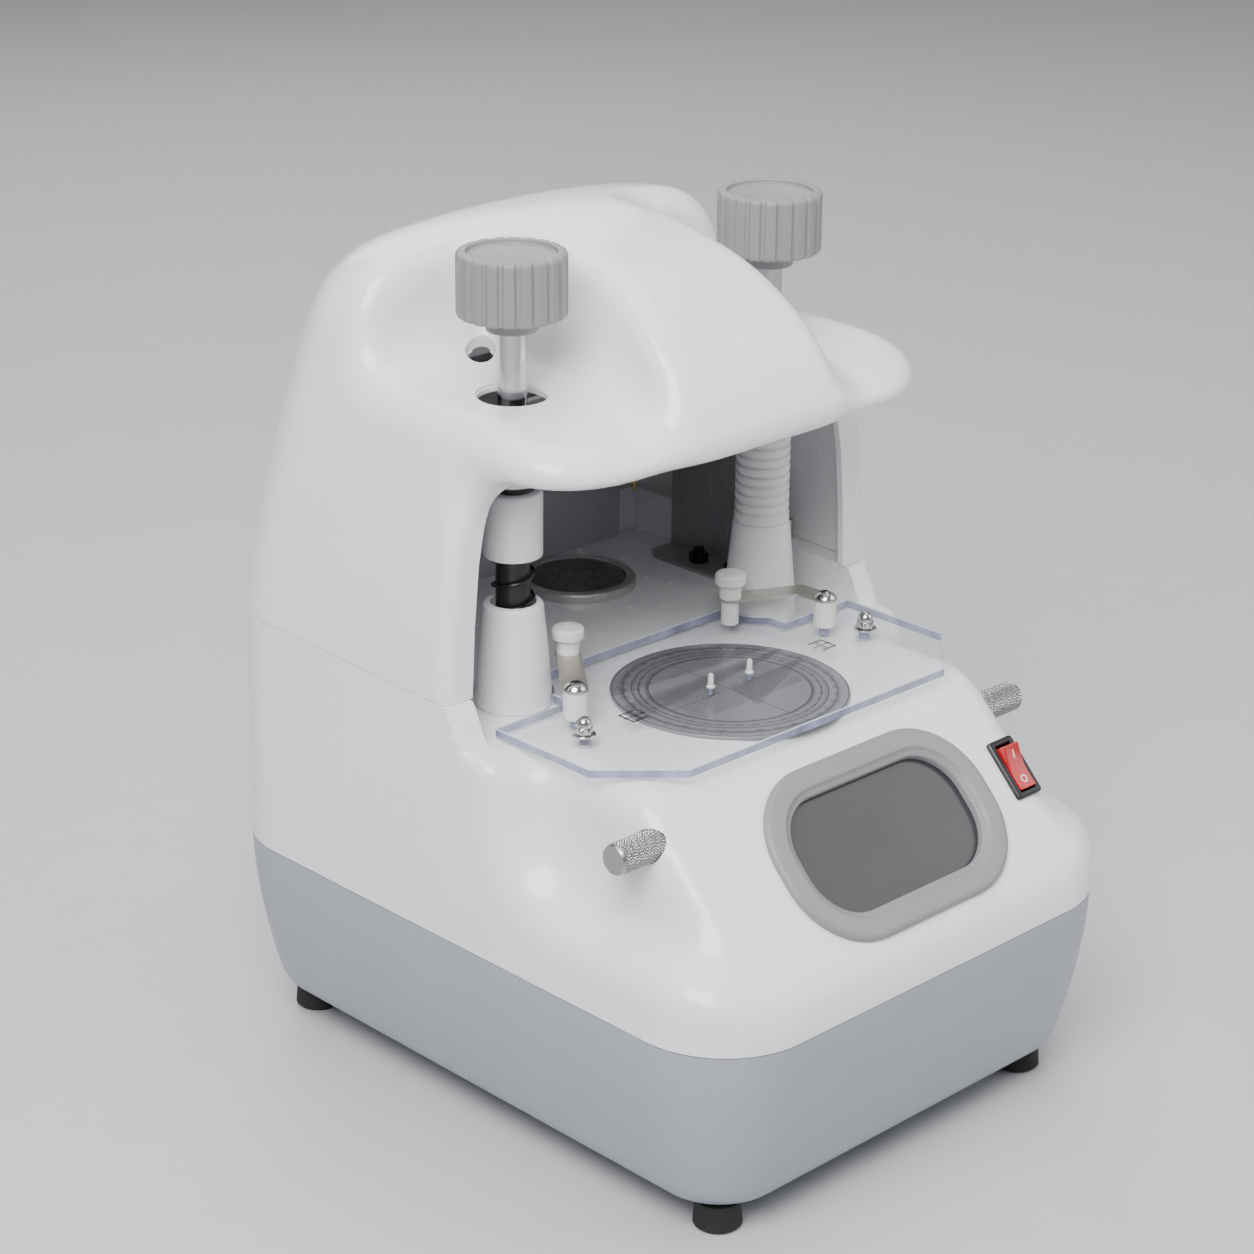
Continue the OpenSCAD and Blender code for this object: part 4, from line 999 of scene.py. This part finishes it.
@dataclass
class Switch:
    """The rocker switch in its black frame."""

    x: float = 87.0
    y: float = -119.0
    width: float = 15.0
    length: float = 27.0
    key_w: float = 9.4
    key_l: float = 19.6
    rest_tilt: float = 10.0

    def opening(self, case: Case) -> bmesh.types.BMesh:
        """The hole in the housing."""
        hole = ring_loft(self.width - 2.2, self.length - 2.4, 0.5, [(0, -14), (0, 14)], False, 2)
        return moved(hole, case.on_slope(self.x, self.y))

    def build(self, unit: Unit, case: Case) -> None:
        """Frame with its well, the key and its two marks."""
        place = case.on_slope(self.x, self.y)
        frame = ring_loft(self.width, self.length, 1.4, [
            (1.3, -9), (1.3, 0.05), (0.05, 0.05), (0, 0.3), (0, 1.3), (0.4, 1.9), (1.0, 2.2), (2.2, 2.2),
            (2.6, 1.6), (2.6, -8.6)], True, 5)
        floor = ring_loft(self.width, self.length, 1.4, [(1.5, -9), (1.5, -8.2)], False, 5)
        unit.add("switch_frame", moved(joined(frame, floor), place), "base", "switch_black",
                 ["switch_body"])
        tilt = place @ at(0, 0, 0.6) @ Matrix.Rotation(math.radians(self.rest_tilt), 4, "X")
        unit.add("switch_key", moved(self.key(), tilt), "rocker", "rocker_red", ["switch_rocker"],
                 sharp=40)
        dash = box_mesh((-0.35, 3.6, 3.0), (0.35, 7.2, 3.62))
        ring = moved(lathe([(1.2, 3.0), (1.2, 3.62), (1.75, 3.62), (1.75, 3.0), (1.2, 3.0)], 32),
                     at(0, -5.6))
        for v in dash.verts[:] + ring.verts[:]:
            v.co.z += self.crest(v.co.y) - 3.55
        unit.add("switch_marks", moved(joined(dash, ring), tilt), "rocker", "rocker_red",
                 finish="mark_white")

    def crest(self, y: float) -> float:
        """Height of the key's top along its length: a shallow valley."""
        return 2.4 + 1.8 * (abs(y) / (self.key_l / 2)) ** 1.4

    def key(self) -> bmesh.types.BMesh:
        """The key: a block with a dished top and rounded edges."""
        bm = box_mesh((-self.key_w / 2, -self.key_l / 2, -4.4), (self.key_w / 2, self.key_l / 2, 3.0))
        long = [e for e in bm.edges if abs(e.verts[0].co.y - e.verts[1].co.y) > 1]
        bmesh.ops.subdivide_edges(bm, edges=long, cuts=24)
        for v in bm.verts:
            if v.co.z > 0:
                v.co.z = self.crest(v.co.y)
        rims = [e for e in bm.edges if e.calc_face_angle(0) > 1.2 and max(v.co.z for v in e.verts) > 1.5]
        bmesh.ops.bevel(bm, geom=rims, offset=0.5, segments=3, profile=0.5, affect="EDGES", material=-1)
        return bm


@dataclass
class Inlet:
    """The mains inlet in the back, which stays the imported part."""

    grow: float = 0.3

    def opening(self) -> bmesh.types.BMesh:
        """The hole in the housing's back."""
        low, high = box_of("inlet_socket")
        margin = Vector((self.grow, 6, self.grow))
        return box_mesh(low - margin, high + margin)


@dataclass
class Columns:
    """Both columns: posts, cores, springs, sleeve or bellows, shafts and fluted knobs."""

    flutes: int = 20
    wire_r: float = 0.8
    coil_r: float = 8.35
    pitch: float = 10.5
    port: tuple[float, float, float] = (55.0, 55.0, 5.5)

    @property
    def left(self) -> Vector:
        """Axis of the left column."""
        return centre_of("shaft_left")

    @property
    def right(self) -> Vector:
        """Axis of the right column."""
        return centre_of("shaft_right")

    def openings(self) -> list[bmesh.types.BMesh]:
        """Holes in the deck under the posts."""
        return [moved(lathe([(0, 150), (9.8, 150), (9.8, 190), (0, 190)], 48), at(c.x, c.y))
                for c in (self.left, self.right)]

    def hood_holes(self, hood: Hood) -> list[bmesh.types.BMesh]:
        """Holes in the shelves, with softened rims: one round each shaft and a small one behind it."""
        holes = []
        for c in (self.left, self.right):
            for x, y, radius in ((c.x, c.y, hood.hole_r), (math.copysign(self.port[0], c.x),
                                                           *self.port[1:])):
                holes.append(moved(self.hole(radius, hood.height_at(x, y)), at(x, y)))
        return holes

    def hole(self, radius: float, top: float) -> bmesh.types.BMesh:
        """A drill with a flare that rounds the hole's upper rim."""
        flare = arc((radius + 1.0, top - 1.0), 1.0, 180, 110, 4)
        return lathe([(0, top - 16), (radius, top - 16), *flare, (radius + 0.9, top + 1.2),
                      (radius + 0.9, top + 12),
                      (0, top + 12)], 72)

    def knob(self, low: float, high: float) -> bmesh.types.BMesh:
        """A fluted knob with its hub and sunk top disc, on the Z axis.

        Args:
            low: underside of the hub.
            high: top of the knob.

        Returns:
            The knob.
        """
        body, r = low + 6, 22.1
        side = [(r, body + 1.6 + (high - 3.2 - body) * i / 10) for i in range(11)]
        profile = [(0, low), (9.6, low), *arc((9.9, low + 0.6), 0.6, -90, 0, 3), (10.5, body - 1.4),
                   *arc((11.9, body - 1.4), 1.4, 180, 90, 4), (r - 1.6, body), *arc((r - 1.6,
                       body + 1.6), 1.6, -90, 0),
                   *side[1:-1], *arc((r - 1.8, high - 1.8), 1.8, 0, 90), (r - 3.6, high),
                   *arc((r - 3.6, high - 0.5), 0.5, 90, 180, 3), (r - 4.1, high - 1.3),
                   *arc((r - 4.6, high - 1.3), 0.5, 0, -90, 3), (0, high - 1.8)]
        bm = lathe(profile, self.flutes * 24)
        width = FULL_TURN / self.flutes
        for v in bm.verts:
            radius = math.hypot(v.co.x, v.co.y)
            if radius > r - 3.2:
                angle = math.atan2(v.co.y, v.co.x) / width
                off = abs(angle - round(angle)) * width * r
                dip = 1.25 * math.exp(-((off / 1.15) ** 4))
                keep = 1 - dip * min(1, (radius - (r - 3.2)) / 1.6) / radius
                v.co.x *= keep
                v.co.y *= keep
        return bm

    def post(self, low: float, high: float) -> bmesh.types.BMesh:
        """A tapered post with a rounded mouth, on the Z axis."""
        bore, mouth = 9.35, 12.6
        height = high - low
        sides = [(16 - (16 - mouth) * (i / 12) ** 1.25,
                  low + 1 + (height - 4.2) * i / 12) for i in range(13)]
        profile = [(0, low - 8), (9.4, low - 8), (9.4, low), (15.2, low), *sides,
                   *arc((mouth - 2.4, high - 2.4), 2.4, 8, 90, 6), *arc((bore + 0.5, high - 0.5), 0.5,
                       90, 180, 3),
                   (bore, low + 24), (0, low + 24)]
        return lathe(profile, 96)

    def coil(self, low: float, high: float) -> bmesh.types.BMesh:
        """A wound spring between two heights, on the Z axis."""
        turns = (high - low - 2 * self.wire_r) / self.pitch
        bm = bmesh.new()
        ring = bmesh.ops.create_circle(bm, segments=10, radius=self.wire_r, cap_ends=True)["verts"]
        bmesh.ops.rotate(bm, verts=ring, cent=(0, 0, 0), matrix=Matrix.Rotation(math.radians(90), 3, "X"))
        bmesh.ops.translate(bm, verts=ring, vec=(self.coil_r, 0, low + self.wire_r))
        steps = int(turns * 40)
        bmesh.ops.spin(bm, geom=bm.faces[:] + bm.edges[:] + bm.verts[:], cent=(0, 0, 0), axis=(0, 0, 1),
                       dvec=(0, 0, (high - low - 2 * self.wire_r) / steps), angle=turns * FULL_TURN,
                       steps=steps)
        bmesh.ops.remove_doubles(bm, verts=bm.verts, dist=1e-4)
        bmesh.ops.recalc_face_normals(bm, faces=bm.faces)
        return bm

    def bellows(self, low: float, high: float) -> bmesh.types.BMesh:
        """The ribbed rubber sleeve, on the Z axis."""
        ribs, crest, root, bore = 11, 11.8, 10.7, 9.6
        pitch = (high - low - 4.5) / ribs
        profile = [(bore, low), (12, low), *arc((11.5, low + 3.5), 0.5, 0, 90, 3)]
        for i in range(ribs):
            z = low + 4.5 + pitch * i
            profile += [(root, z + 0.1), (root, z + 0.18 * pitch), *arc((crest - 0.7,
                z + 0.36 * pitch), 0.7, -70, 0, 3),
                        *arc((crest - 0.7, z + 0.76 * pitch), 0.7, 0, 70, 3), (root, z + 0.98 * pitch)]
        profile += [(root, high), (bore, high), (bore, low)]
        return lathe(profile, 72)

    def core(self, low: float, high: float) -> bmesh.types.BMesh:
        """The black tube round a shaft, with its spring seat."""
        return lathe([(6.1, low), (7.1, low), (7.1, high - 0.5), *arc((6.7, high - 0.4), 0.4, 0, 90, 3),
                      (6.1, high), (6.1, low)], 64)

    def build(self, unit: Unit) -> None:
        """Builds and places every piece of the two columns."""
        _, top = box_of("posts")
        deck = box_of("scale_disc")[0].z
        posts = copies(self.post(deck, top.z), [at(c.x, c.y) for c in (self.left, self.right)])
        unit.add("column_posts", posts, "base", "post_white", ["posts"])
        for side in (option.value for option in Side):
            c = centre_of(f"shaft_{side}")
            low, high = box_of(f"knob_{side}")
            place = at(c.x, c.y)
            unit.add(f"fluted_knob_{side}", moved(self.knob(low.z, high.z), place), f"{side}_press",
                     "knob_grey",
                     [f"knob_{side}"], sharp=40)
            seat, crown = box_of(f"core_{side}")
            unit.add(f"core_tube_{side}", moved(self.core(seat.z, crown.z), place), f"{side}_turn",
                     "core_black",
                     [f"core_{side}"])
            foot, head = box_of(f"shaft_{side}")
            rod = lathe([(0, foot.z), (5, foot.z), *arc((5.2, foot.z + 0.8), 0.8, -90, 0, 3), (6,
                head.z), (0, head.z)],
                        72)
            unit.add(f"polished_shaft_{side}", moved(rod, place), f"{side}_press", "chrome",
                     [f"shaft_{side}"])
            start, end = box_of(f"spring_{side}")
            coil = moved(self.coil(start.z, end.z), place)
            spring = unit.add(f"wound_spring_{side}", coil, f"{side}_turn", "spring_black",
                              [f"spring_{side}"])
            self.shorten(unit, spring, f"{side}_press", start.z, end.z)
        self.left_sleeve(unit)
        low, high = box_of("bellows_right")
        place = at(self.right.x, self.right.y)
        bellows = unit.add("ribbed_bellows", moved(self.bellows(low.z, high.z), place), "right_turn",
                           "bellows_white", ["bellows_right"], sharp=60)
        self.shorten(unit, bellows, "right_press", low.z, high.z)

    def left_sleeve(self, unit: Unit) -> None:
        """The white sleeve over the left spring, with the black ring in its mouth."""
        low, high = box_of("sleeve_left")
        r = 12.2
        place = at(self.left.x, self.left.y)
        sleeve = lathe([(9.9, low.z), *arc((r - 0.6, low.z + 0.6), 0.6, -90, 0, 3), *arc((r - 1.6,
            high.z - 1.6), 1.6, 0, 90),
                        (8.7, high.z), (8.7, high.z - 5), (9.9, high.z - 6), (9.9, low.z)], 80)
        unit.add("white_sleeve", moved(sleeve, place), "left_press", "post_white", ["sleeve_left"])
        _, top = box_of("collar_left")
        ring = lathe([(6.08, high.z - 4), (8.6, high.z - 4), (8.6, high.z + 0.2),
                      *arc((8.1, high.z + 1.6), 0.5, -90, 0, 3), *arc((8.1, top.z - 0.6), 0.5, 0, 90, 3),
                      (6.9, top.z - 0.1), (6.08, top.z - 0.7), (6.08, high.z - 4)], 72)
        unit.add("black_grommet", moved(ring, place), "left_press", "core_black", ["collar_left"])

    def shorten(self, unit: Unit, piece: bpy.types.Object, joint: str, low: float, high: float) -> None:
        """Reads how far the press travels and gives the piece a mesh of its own."""
        travel = next(j["range_m"][1] for j in unit.frame["joints"] if j["name"] == joint) / MM
        1 - travel / (high - low)
        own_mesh(piece)


@dataclass
class ScalePlate:
    """The clear plate, the printed disc below it, and what is fastened to them."""

    numeral: float = 2.9
    numeral_r: float = 48.0
    inner_r: float = 36.6

    def opening(self) -> bmesh.types.BMesh:
        """The hole in the deck under the disc."""
        low, high = box_of("scale_disc")
        centre = (low + high) / 2
        return moved(lathe([(0, low.z - 9), (46, low.z - 9), (46, low.z + 5), (0, low.z + 5)], 96),
                     at(centre.x, centre.y))

    def build(self, unit: Unit) -> None:
        """Disc, numerals, index marks, pins, nuts, stand-offs and clip knobs."""
        self.disc(unit)
        self.sheet(unit)
        self.index_marks(unit)
        self.hardware(unit)

    def disc(self, unit: Unit) -> None:
        """The disc and its numerals."""
        low, high = box_of("scale_disc")
        c, r = (low + high) / 2, (high.x - low.x) / 2
        disc = lathe([(0, low.z), (r - 0.2, low.z), (r, low.z + 0.2), (r, high.z - 0.3), (r - 0.3,
            high.z), (0, high.z)],
                     160)
        unit.add("printed_disc", moved(disc, at(c.x, c.y)), "base", "scale_print", ["scale_disc"])
        marks = []
        for radius, step, size, turn in ((self.numeral_r - 5.0, 10, self.numeral, 1),
                                         (self.inner_r + 0.6, 10, self.numeral * 0.8, -1)):
            for i in range(36):
                angle = math.radians(step * i)
                place = (at(c.x, c.y, high.z + 0.015) @ Matrix.Rotation(angle, 4, "Z") @ at(radius, 0)
                         @ Matrix.Rotation(math.radians(-90), 4, "Z"))
                marks.append(self.figure(str((turn * step * i) % 180), size, place))
        unit.add("scale_numerals", joined(*marks), "base", "scale_print", finish="print_ink")

    def figure(self, words: str, size: float, place: Matrix) -> bmesh.types.BMesh:
        """A flat numeral, centred on its place."""
        curve = bpy.data.curves.new("figure", "FONT")
        curve.body = words
        curve.size = size
        curve.align_x = "CENTER"
        curve.resolution_u = 2
        writer = bpy.data.objects.new("figure", curve)
        bpy.context.scene.collection.objects.link(writer)
        shaped = writer.evaluated_get(bpy.context.evaluated_depsgraph_get())
        bm = bmesh.new()
        bm.from_mesh(shaped.to_mesh())
        bpy.data.objects.remove(writer)
        bpy.data.curves.remove(curve)
        return moved(bm, place)

    def sheet(self, unit: Unit) -> None:
        """The clear plate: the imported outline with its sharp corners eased."""
        source = unit.frame["nodes"]["scale_plate"]
        bm = bmesh.new()
        bm.from_mesh(source.data)
        bmesh.ops.scale(bm, vec=(1 / MM,) * 3, verts=bm.verts)
        bmesh.ops.remove_doubles(bm, verts=bm.verts, dist=0.01)
        bmesh.ops.dissolve_limit(bm, angle_limit=math.radians(2), verts=bm.verts, edges=bm.edges)
        long = [e for e in bm.edges if e.calc_face_angle(0) > 0.6 and e.calc_length() > 6]
        bmesh.ops.bevel(bm, geom=long, offset=0.35, segments=2, profile=0.5, affect="EDGES", material=-1)
        unit.add("clear_plate", bm, "base", "acrylic", ["scale_plate"], sharp=20)

    def index_marks(self, unit: Unit) -> None:
        """The little reading brackets at both ends of the disc's level line."""
        c = centre_of("scale_disc")
        z = box_of("scale_plate")[1].z + 0.02
        bars = []
        for sx in (-1, 1):
            for y0, y1, x0, x1 in ((-0.3, 0.3, 50, 61), (-4.7, -3.9, 52, 60), (3.9, 4.7, 52, 60),
                                   (-4.7, 4.7, 59.4, 60.3)):
                xs = sorted((sx * x0, sx * x1))
                bars.append(box_mesh((xs[0], c.y + y0, z), (xs[1], c.y + y1, z + 0.05)))
            for i in range(7):
                y = c.y - 3.3 + 1.1 * i
                xs = sorted((sx * 54, sx * (56.5 if i % 3 else 58)))
                bars.append(box_mesh((xs[0], y - 0.2, z), (xs[1], y + 0.2, z + 0.05)))
        unit.add("index_marks", joined(*bars), "base", "scale_print", finish="print_ink")

    def hardware(self, unit: Unit) -> None:
        """Lens pins, acorn nuts and washers, clip stand-offs, screws and knobs."""
        top = box_of("scale_plate")[1].z
        pin_high = box_of("lens_pins")[1]
        y = centre_of("lens_pins").y
        pin = lathe([(0, top), (1.8, top), (1.8, top + 0.5), (1.25, top + 0.9), (1.15, pin_high.z - 1.2),
                     *arc((0.2, pin_high.z - 0.9), 0.85, 20, 90, 4), (0, pin_high.z)], 24)
        reach = pin_high.x - 1.4
        unit.add("lens_rests", copies(pin, [at(-reach, y), at(reach, y)]), "base", "nylon", ["lens_pins"])
        self.acorns(unit, top)
        self.clips(unit, top)

    def acorns(self, unit: Unit, top: float) -> None:
        """Domed nuts on their washers."""
        low, high = box_of("acorn_nuts")
        x, y = high.x - 3.5, (low.y + high.y) / 2
        dome = high.z - 3.2
        washer = lathe([(2, top), (4.8, top), (5, top + 0.2), (5, top + 0.6), (4.8, top + 0.8), (2,
            top + 0.8),
                        (2, top)], 48)
        skirt = lathe([(0, low.z), (3.3, low.z), (4.03, low.z + 0.35), (4.03, low.z + 2.4), (3.5,
            low.z + 2.9),
                       (3.2, low.z + 3.0), *arc((0, dome), 3.2, 4, 90, 9)], 48)
        for v in skirt.verts:
            if low.z + 0.2 < v.co.z < low.z + 2.7:
                angle = math.atan2(v.co.y, v.co.x)
                flat = 3.5 / math.cos((angle + math.pi / 6) % (math.pi / 3) - math.pi / 6)
                radius = math.hypot(v.co.x, v.co.y)
                share = min(flat, 4.03) / radius
                v.co.x *= share
                v.co.y *= share
        places = [at(-x, y), at(x, y)]
        unit.add("acorn_set", copies(joined(washer, skirt), places), "base", "nickel", ["acorn_nuts",
            "plate_washers"],
                 sharp=25)

    def clips(self, unit: Unit, top: float) -> None:
        """Stand-offs with their cross-head screws, and the nylon knobs at the strips' ends."""
        low, high = box_of("clip_standoffs")
        x, y, r = high.x - 5, (low.y + high.y) / 2, 5.0
        post = lathe([(2.15, top), (r - 0.3, top), (r, top + 0.3), (r, high.z - 0.4), (r - 0.4,
            high.z), (2.15, high.z),
                      (2.15, top)], 64)
        unit.add("nylon_standoffs", copies(post, [at(-x, y), at(x, y)]), "base", "nylon",
                 ["clip_standoffs"])
        _, tip = box_of("clip_screws")
        base = box_of("strip_left")[1].z
        head = lathe([(0, base + 0.1), (4.2, base + 0.1), (4.4, base + 0.5), *arc((0, tip.z - 5.6),
            5.4, 28, 90, 9)], 56)
        head = cut(head, box_mesh((-2.3, -0.45, tip.z - 1.7), (2.3, 0.45, tip.z + 2)),
                   box_mesh((-0.45, -2.3, tip.z - 1.7), (0.45, 2.3, tip.z + 2)))
        shank = lathe([(0, top), (2.08, top), (2.08, base + 0.3), (0, base + 0.3)], 32)
        unit.add("clip_screw_set", copies(joined(head, shank), [at(-x, y), at(x, y)]), "base", "nickel",
                 ["clip_screws"])
        for side in (option.value for option in Side):
            foot, crown = box_of(f"clip_knob_{side}")
            c = (foot + crown) / 2
            strip = box_of(f"strip_{side}")[0].z
            unit.add(f"nylon_knob_{side}", moved(self.clip_knob(foot.z, strip, crown.z), at(c.x, c.y)),
                     f"clip_{side}", "nylon", [f"clip_knob_{side}"], sharp=40)

    def clip_knob(self, foot: float, strip: float, crown: float) -> bmesh.types.BMesh:
        """A turned nylon knob clamped through a strip."""
        head = crown - 5.6
        return lathe([(0, foot), (3.2, foot), (3.85, foot + 0.6), (3.85, strip - 0.02), (3.0, strip),
                      (3.0, strip + 0.8),
                      (4.8, strip + 0.82), (4.8, head - 1.6), *arc((6.2, head - 1.0), 1.4, 205, 120, 3),
                      *arc((6.05, head + 0.9), 0.7, -60, 0, 3), *arc((5.15, crown - 1.9), 1.6, 0, 74, 6),
                      (3.0, crown - 0.08), (0.9, crown), (0.6, crown - 0.35), (0, crown - 0.5)], 64)


@dataclass
class SideKnobs:
    """The knurled knobs of the mirror's cross shaft."""

    ridges: int = 30
    bite: float = 0.55
    reach: float = 28.0

    def openings(self) -> list[bmesh.types.BMesh]:
        """Holes in the recesses."""
        low, high = box_of("side_knobs")
        c = (low + high) / 2
        turn = Matrix.Rotation(math.radians(90), 4, "Y")
        drill = lathe([(0, 88), (6.75, 88), (6.75, 126), (0, 126)], 64)
        other = drill.copy()
        return [moved(drill, at(0, c.y, c.z) @ turn),
                moved(other, at(0, c.y, c.z) @ Matrix.Rotation(math.radians(-90), 4, "Y"))]

    def build(self, unit: Unit) -> None:
        """Both knobs: diamond knurl, chamfer and a plain centred end."""
        low, high = box_of("side_knobs")
        c, r = (low + high) / 2, (high.z - low.z) / 2
        start, end = high.x - self.reach, high.x
        rows = [(r, start + 1 + (end - start - 2.4) * i / 90) for i in range(91)]
        knob = lathe([(3, start), (r - 0.8, start), (r, start + 0.9), *rows[1:], (r - 0.05,
            end - 1.1), (r - 0.7, end),
                      (0.6, end), (0.3, end - 0.3), (0, end - 0.4)], self.ridges * 6)
        for v in knob.verts:
            radius = math.hypot(v.co.x, v.co.y)
            if radius > r - 0.02 and start + 1 < v.co.z < end - 1.3:
                turn = math.atan2(v.co.y, v.co.x) * self.ridges
                run = v.co.z / r * self.ridges
                groove = max(math.cos(turn + run), math.cos(turn - run))
                share = 1 - self.bite * max(groove, 0) ** 3 / radius
                v.co.x *= share
                v.co.y *= share
        place = at(0, c.y, c.z) @ Matrix.Rotation(math.radians(90), 4, "Y")
        unit.add("knurled_knobs", both_sides(moved(knob, place)), "mirror", "nickel", ["side_knobs"],
                 finish="alloy_knurl", sharp=25)


@dataclass
class InkTin:
    """The ink tin let into the back of the deck."""

    def build(self, unit: Unit) -> None:
        """Tin with a rolled rim, and the inked pad."""
        low, high = box_of("ink_tin")
        c, r = (low + high) / 2, (high.x - low.x) / 2
        deck = box_of("scale_disc")[0].z
        tin = lathe([(0, deck - 5), (r - 4.6, deck - 5), (r - 4.6, high.z - 1.4), *arc((r - 3.4,
            high.z - 1.2), 1.2, 180, 90, 4),
                     *arc((r - 1.6, high.z - 1.6), 1.6, 90, 0, 5), (r, deck + 0.1), (r - 2.6, deck),
                     (r - 2.6, deck - 6),
                     (0, deck - 6)], 128)
        unit.add("tin", moved(tin, at(c.x, c.y)), "base", "tin_steel", ["ink_tin"])
        foot, top = box_of("ink_felt")
        f = (top.x - foot.x) / 2 - 0.1
        pad = lathe([(0, foot.z), (f, foot.z), (f, top.z - 2.6), (f - 1.0, top.z - 1.4), (f - 3.0,
            top.z - 0.5),
                     (f - 7, top.z - 0.1), (0, top.z)], 96)
        unit.add("inked_pad", moved(pad, at(c.x, c.y)), "base", "ink_felt", ["ink_felt"])


# ---------------------------------------------------------------- studio


@dataclass
class Studio:
    """Floor, soft lights and the camera."""

    eye: tuple[float, float, float] = (-0.8742, -0.8697, 0.6851)
    look: tuple[float, float, float] = (0.6493, 0.6641, -0.3707)
    roll: float = 0.58
    lens: float = 90.6

    def build(self, unit: Unit) -> None:
        """Sets up everything that isn't the object."""
        self.floor(unit)
        self.world()
        self.softbox("key", (-1.1, -0.7, 1.6), 1.2, 60)
        self.softbox("fill", (1.5, -1.2, 1.1), 1.6, 16)
        self.softbox("top", (0.2, 0.3, 2.2), 1.8, 26)
        self.softbox("back", (0.9, 1.6, 1.3), 1.2, 11)
        self.camera()

    def floor(self, unit: Unit) -> None:
        """A wide plain floor."""
        bm = bmesh.new()
        bmesh.ops.create_grid(bm, x_segments=8, y_segments=8, size=6.0)
        mesh = bpy.data.meshes.new("studio_floor")
        bm.to_mesh(mesh)
        bm.free()
        mesh.materials.append(unit.finish("floor"))
        floor = bpy.data.objects.new("studio_floor", mesh)
        bpy.context.scene.collection.objects.link(floor)

    def world(self) -> None:
        """Even pale surroundings."""
        world = bpy.data.worlds.new("surroundings")
        world.use_nodes = True
        shade = next(n for n in world.node_tree.nodes if n.type == "BACKGROUND")
        shade.inputs["Color"].default_value = (0.62, 0.64, 0.67, 1)
        shade.inputs["Strength"].default_value = 0.42
        bpy.context.scene.world = world

    def softbox(self, name: str, place: tuple[float, float, float], size: float, power: float) -> None:
        """One square lamp that faces the object."""
        lamp = bpy.data.lights.new(name, "AREA")
        lamp.size = size
        lamp.energy = power
        box = bpy.data.objects.new(name, lamp)
        aim = Vector((0, 0, 0.18)) - Vector(place)
        box.matrix_world = Matrix.Translation(place) @ aim.to_track_quat("-Z", "Y").to_matrix().to_4x4()
        bpy.context.scene.collection.objects.link(box)

    def camera(self) -> None:
        """The camera, above the operator's left."""
        data = bpy.data.cameras.new("camera")
        data.lens = self.lens
        data.sensor_width = 36.0
        eye = bpy.data.objects.new("camera", data)
        turn = Vector(self.look).to_track_quat("-Z", "Y").to_matrix().to_4x4()
        eye.matrix_world = Matrix.Translation(self.eye) @ turn @ Matrix.Rotation(math.radians(self.roll), 4, "Z")
        bpy.context.scene.collection.objects.link(eye)
        bpy.context.scene.camera = eye


def main() -> None:
    """Builds the object around the frame, then the studio."""
    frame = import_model()
    unit = Unit(frame)
    case = Case()
    window, switch, inlet = Window(), Switch(), Inlet()
    columns, plate, knobs = Columns(), ScalePlate(), SideKnobs()
    unit.add("tub_moulding", Tub(case=case).build(), "base", "tub_paint", ["bottom_tub"])
    housing = LowerHousing(case=case).build(window, switch, columns, inlet, plate, knobs)
    unit.add("housing_moulding", housing, "base", "case_white", ["lower_housing"])
    unit.add("hood_moulding", Hood(case=case).build(columns), "base", "case_white", ["hood"])
    window.build(unit, case)
    switch.build(unit, case)
    columns.build(unit)
    plate.build(unit)
    knobs.build(unit)
    InkTin().build(unit)
    Studio().build(unit)


if __name__ == "__main__":
    logging.basicConfig(level=logging.INFO, format="%(name)s %(message)s")
    main()
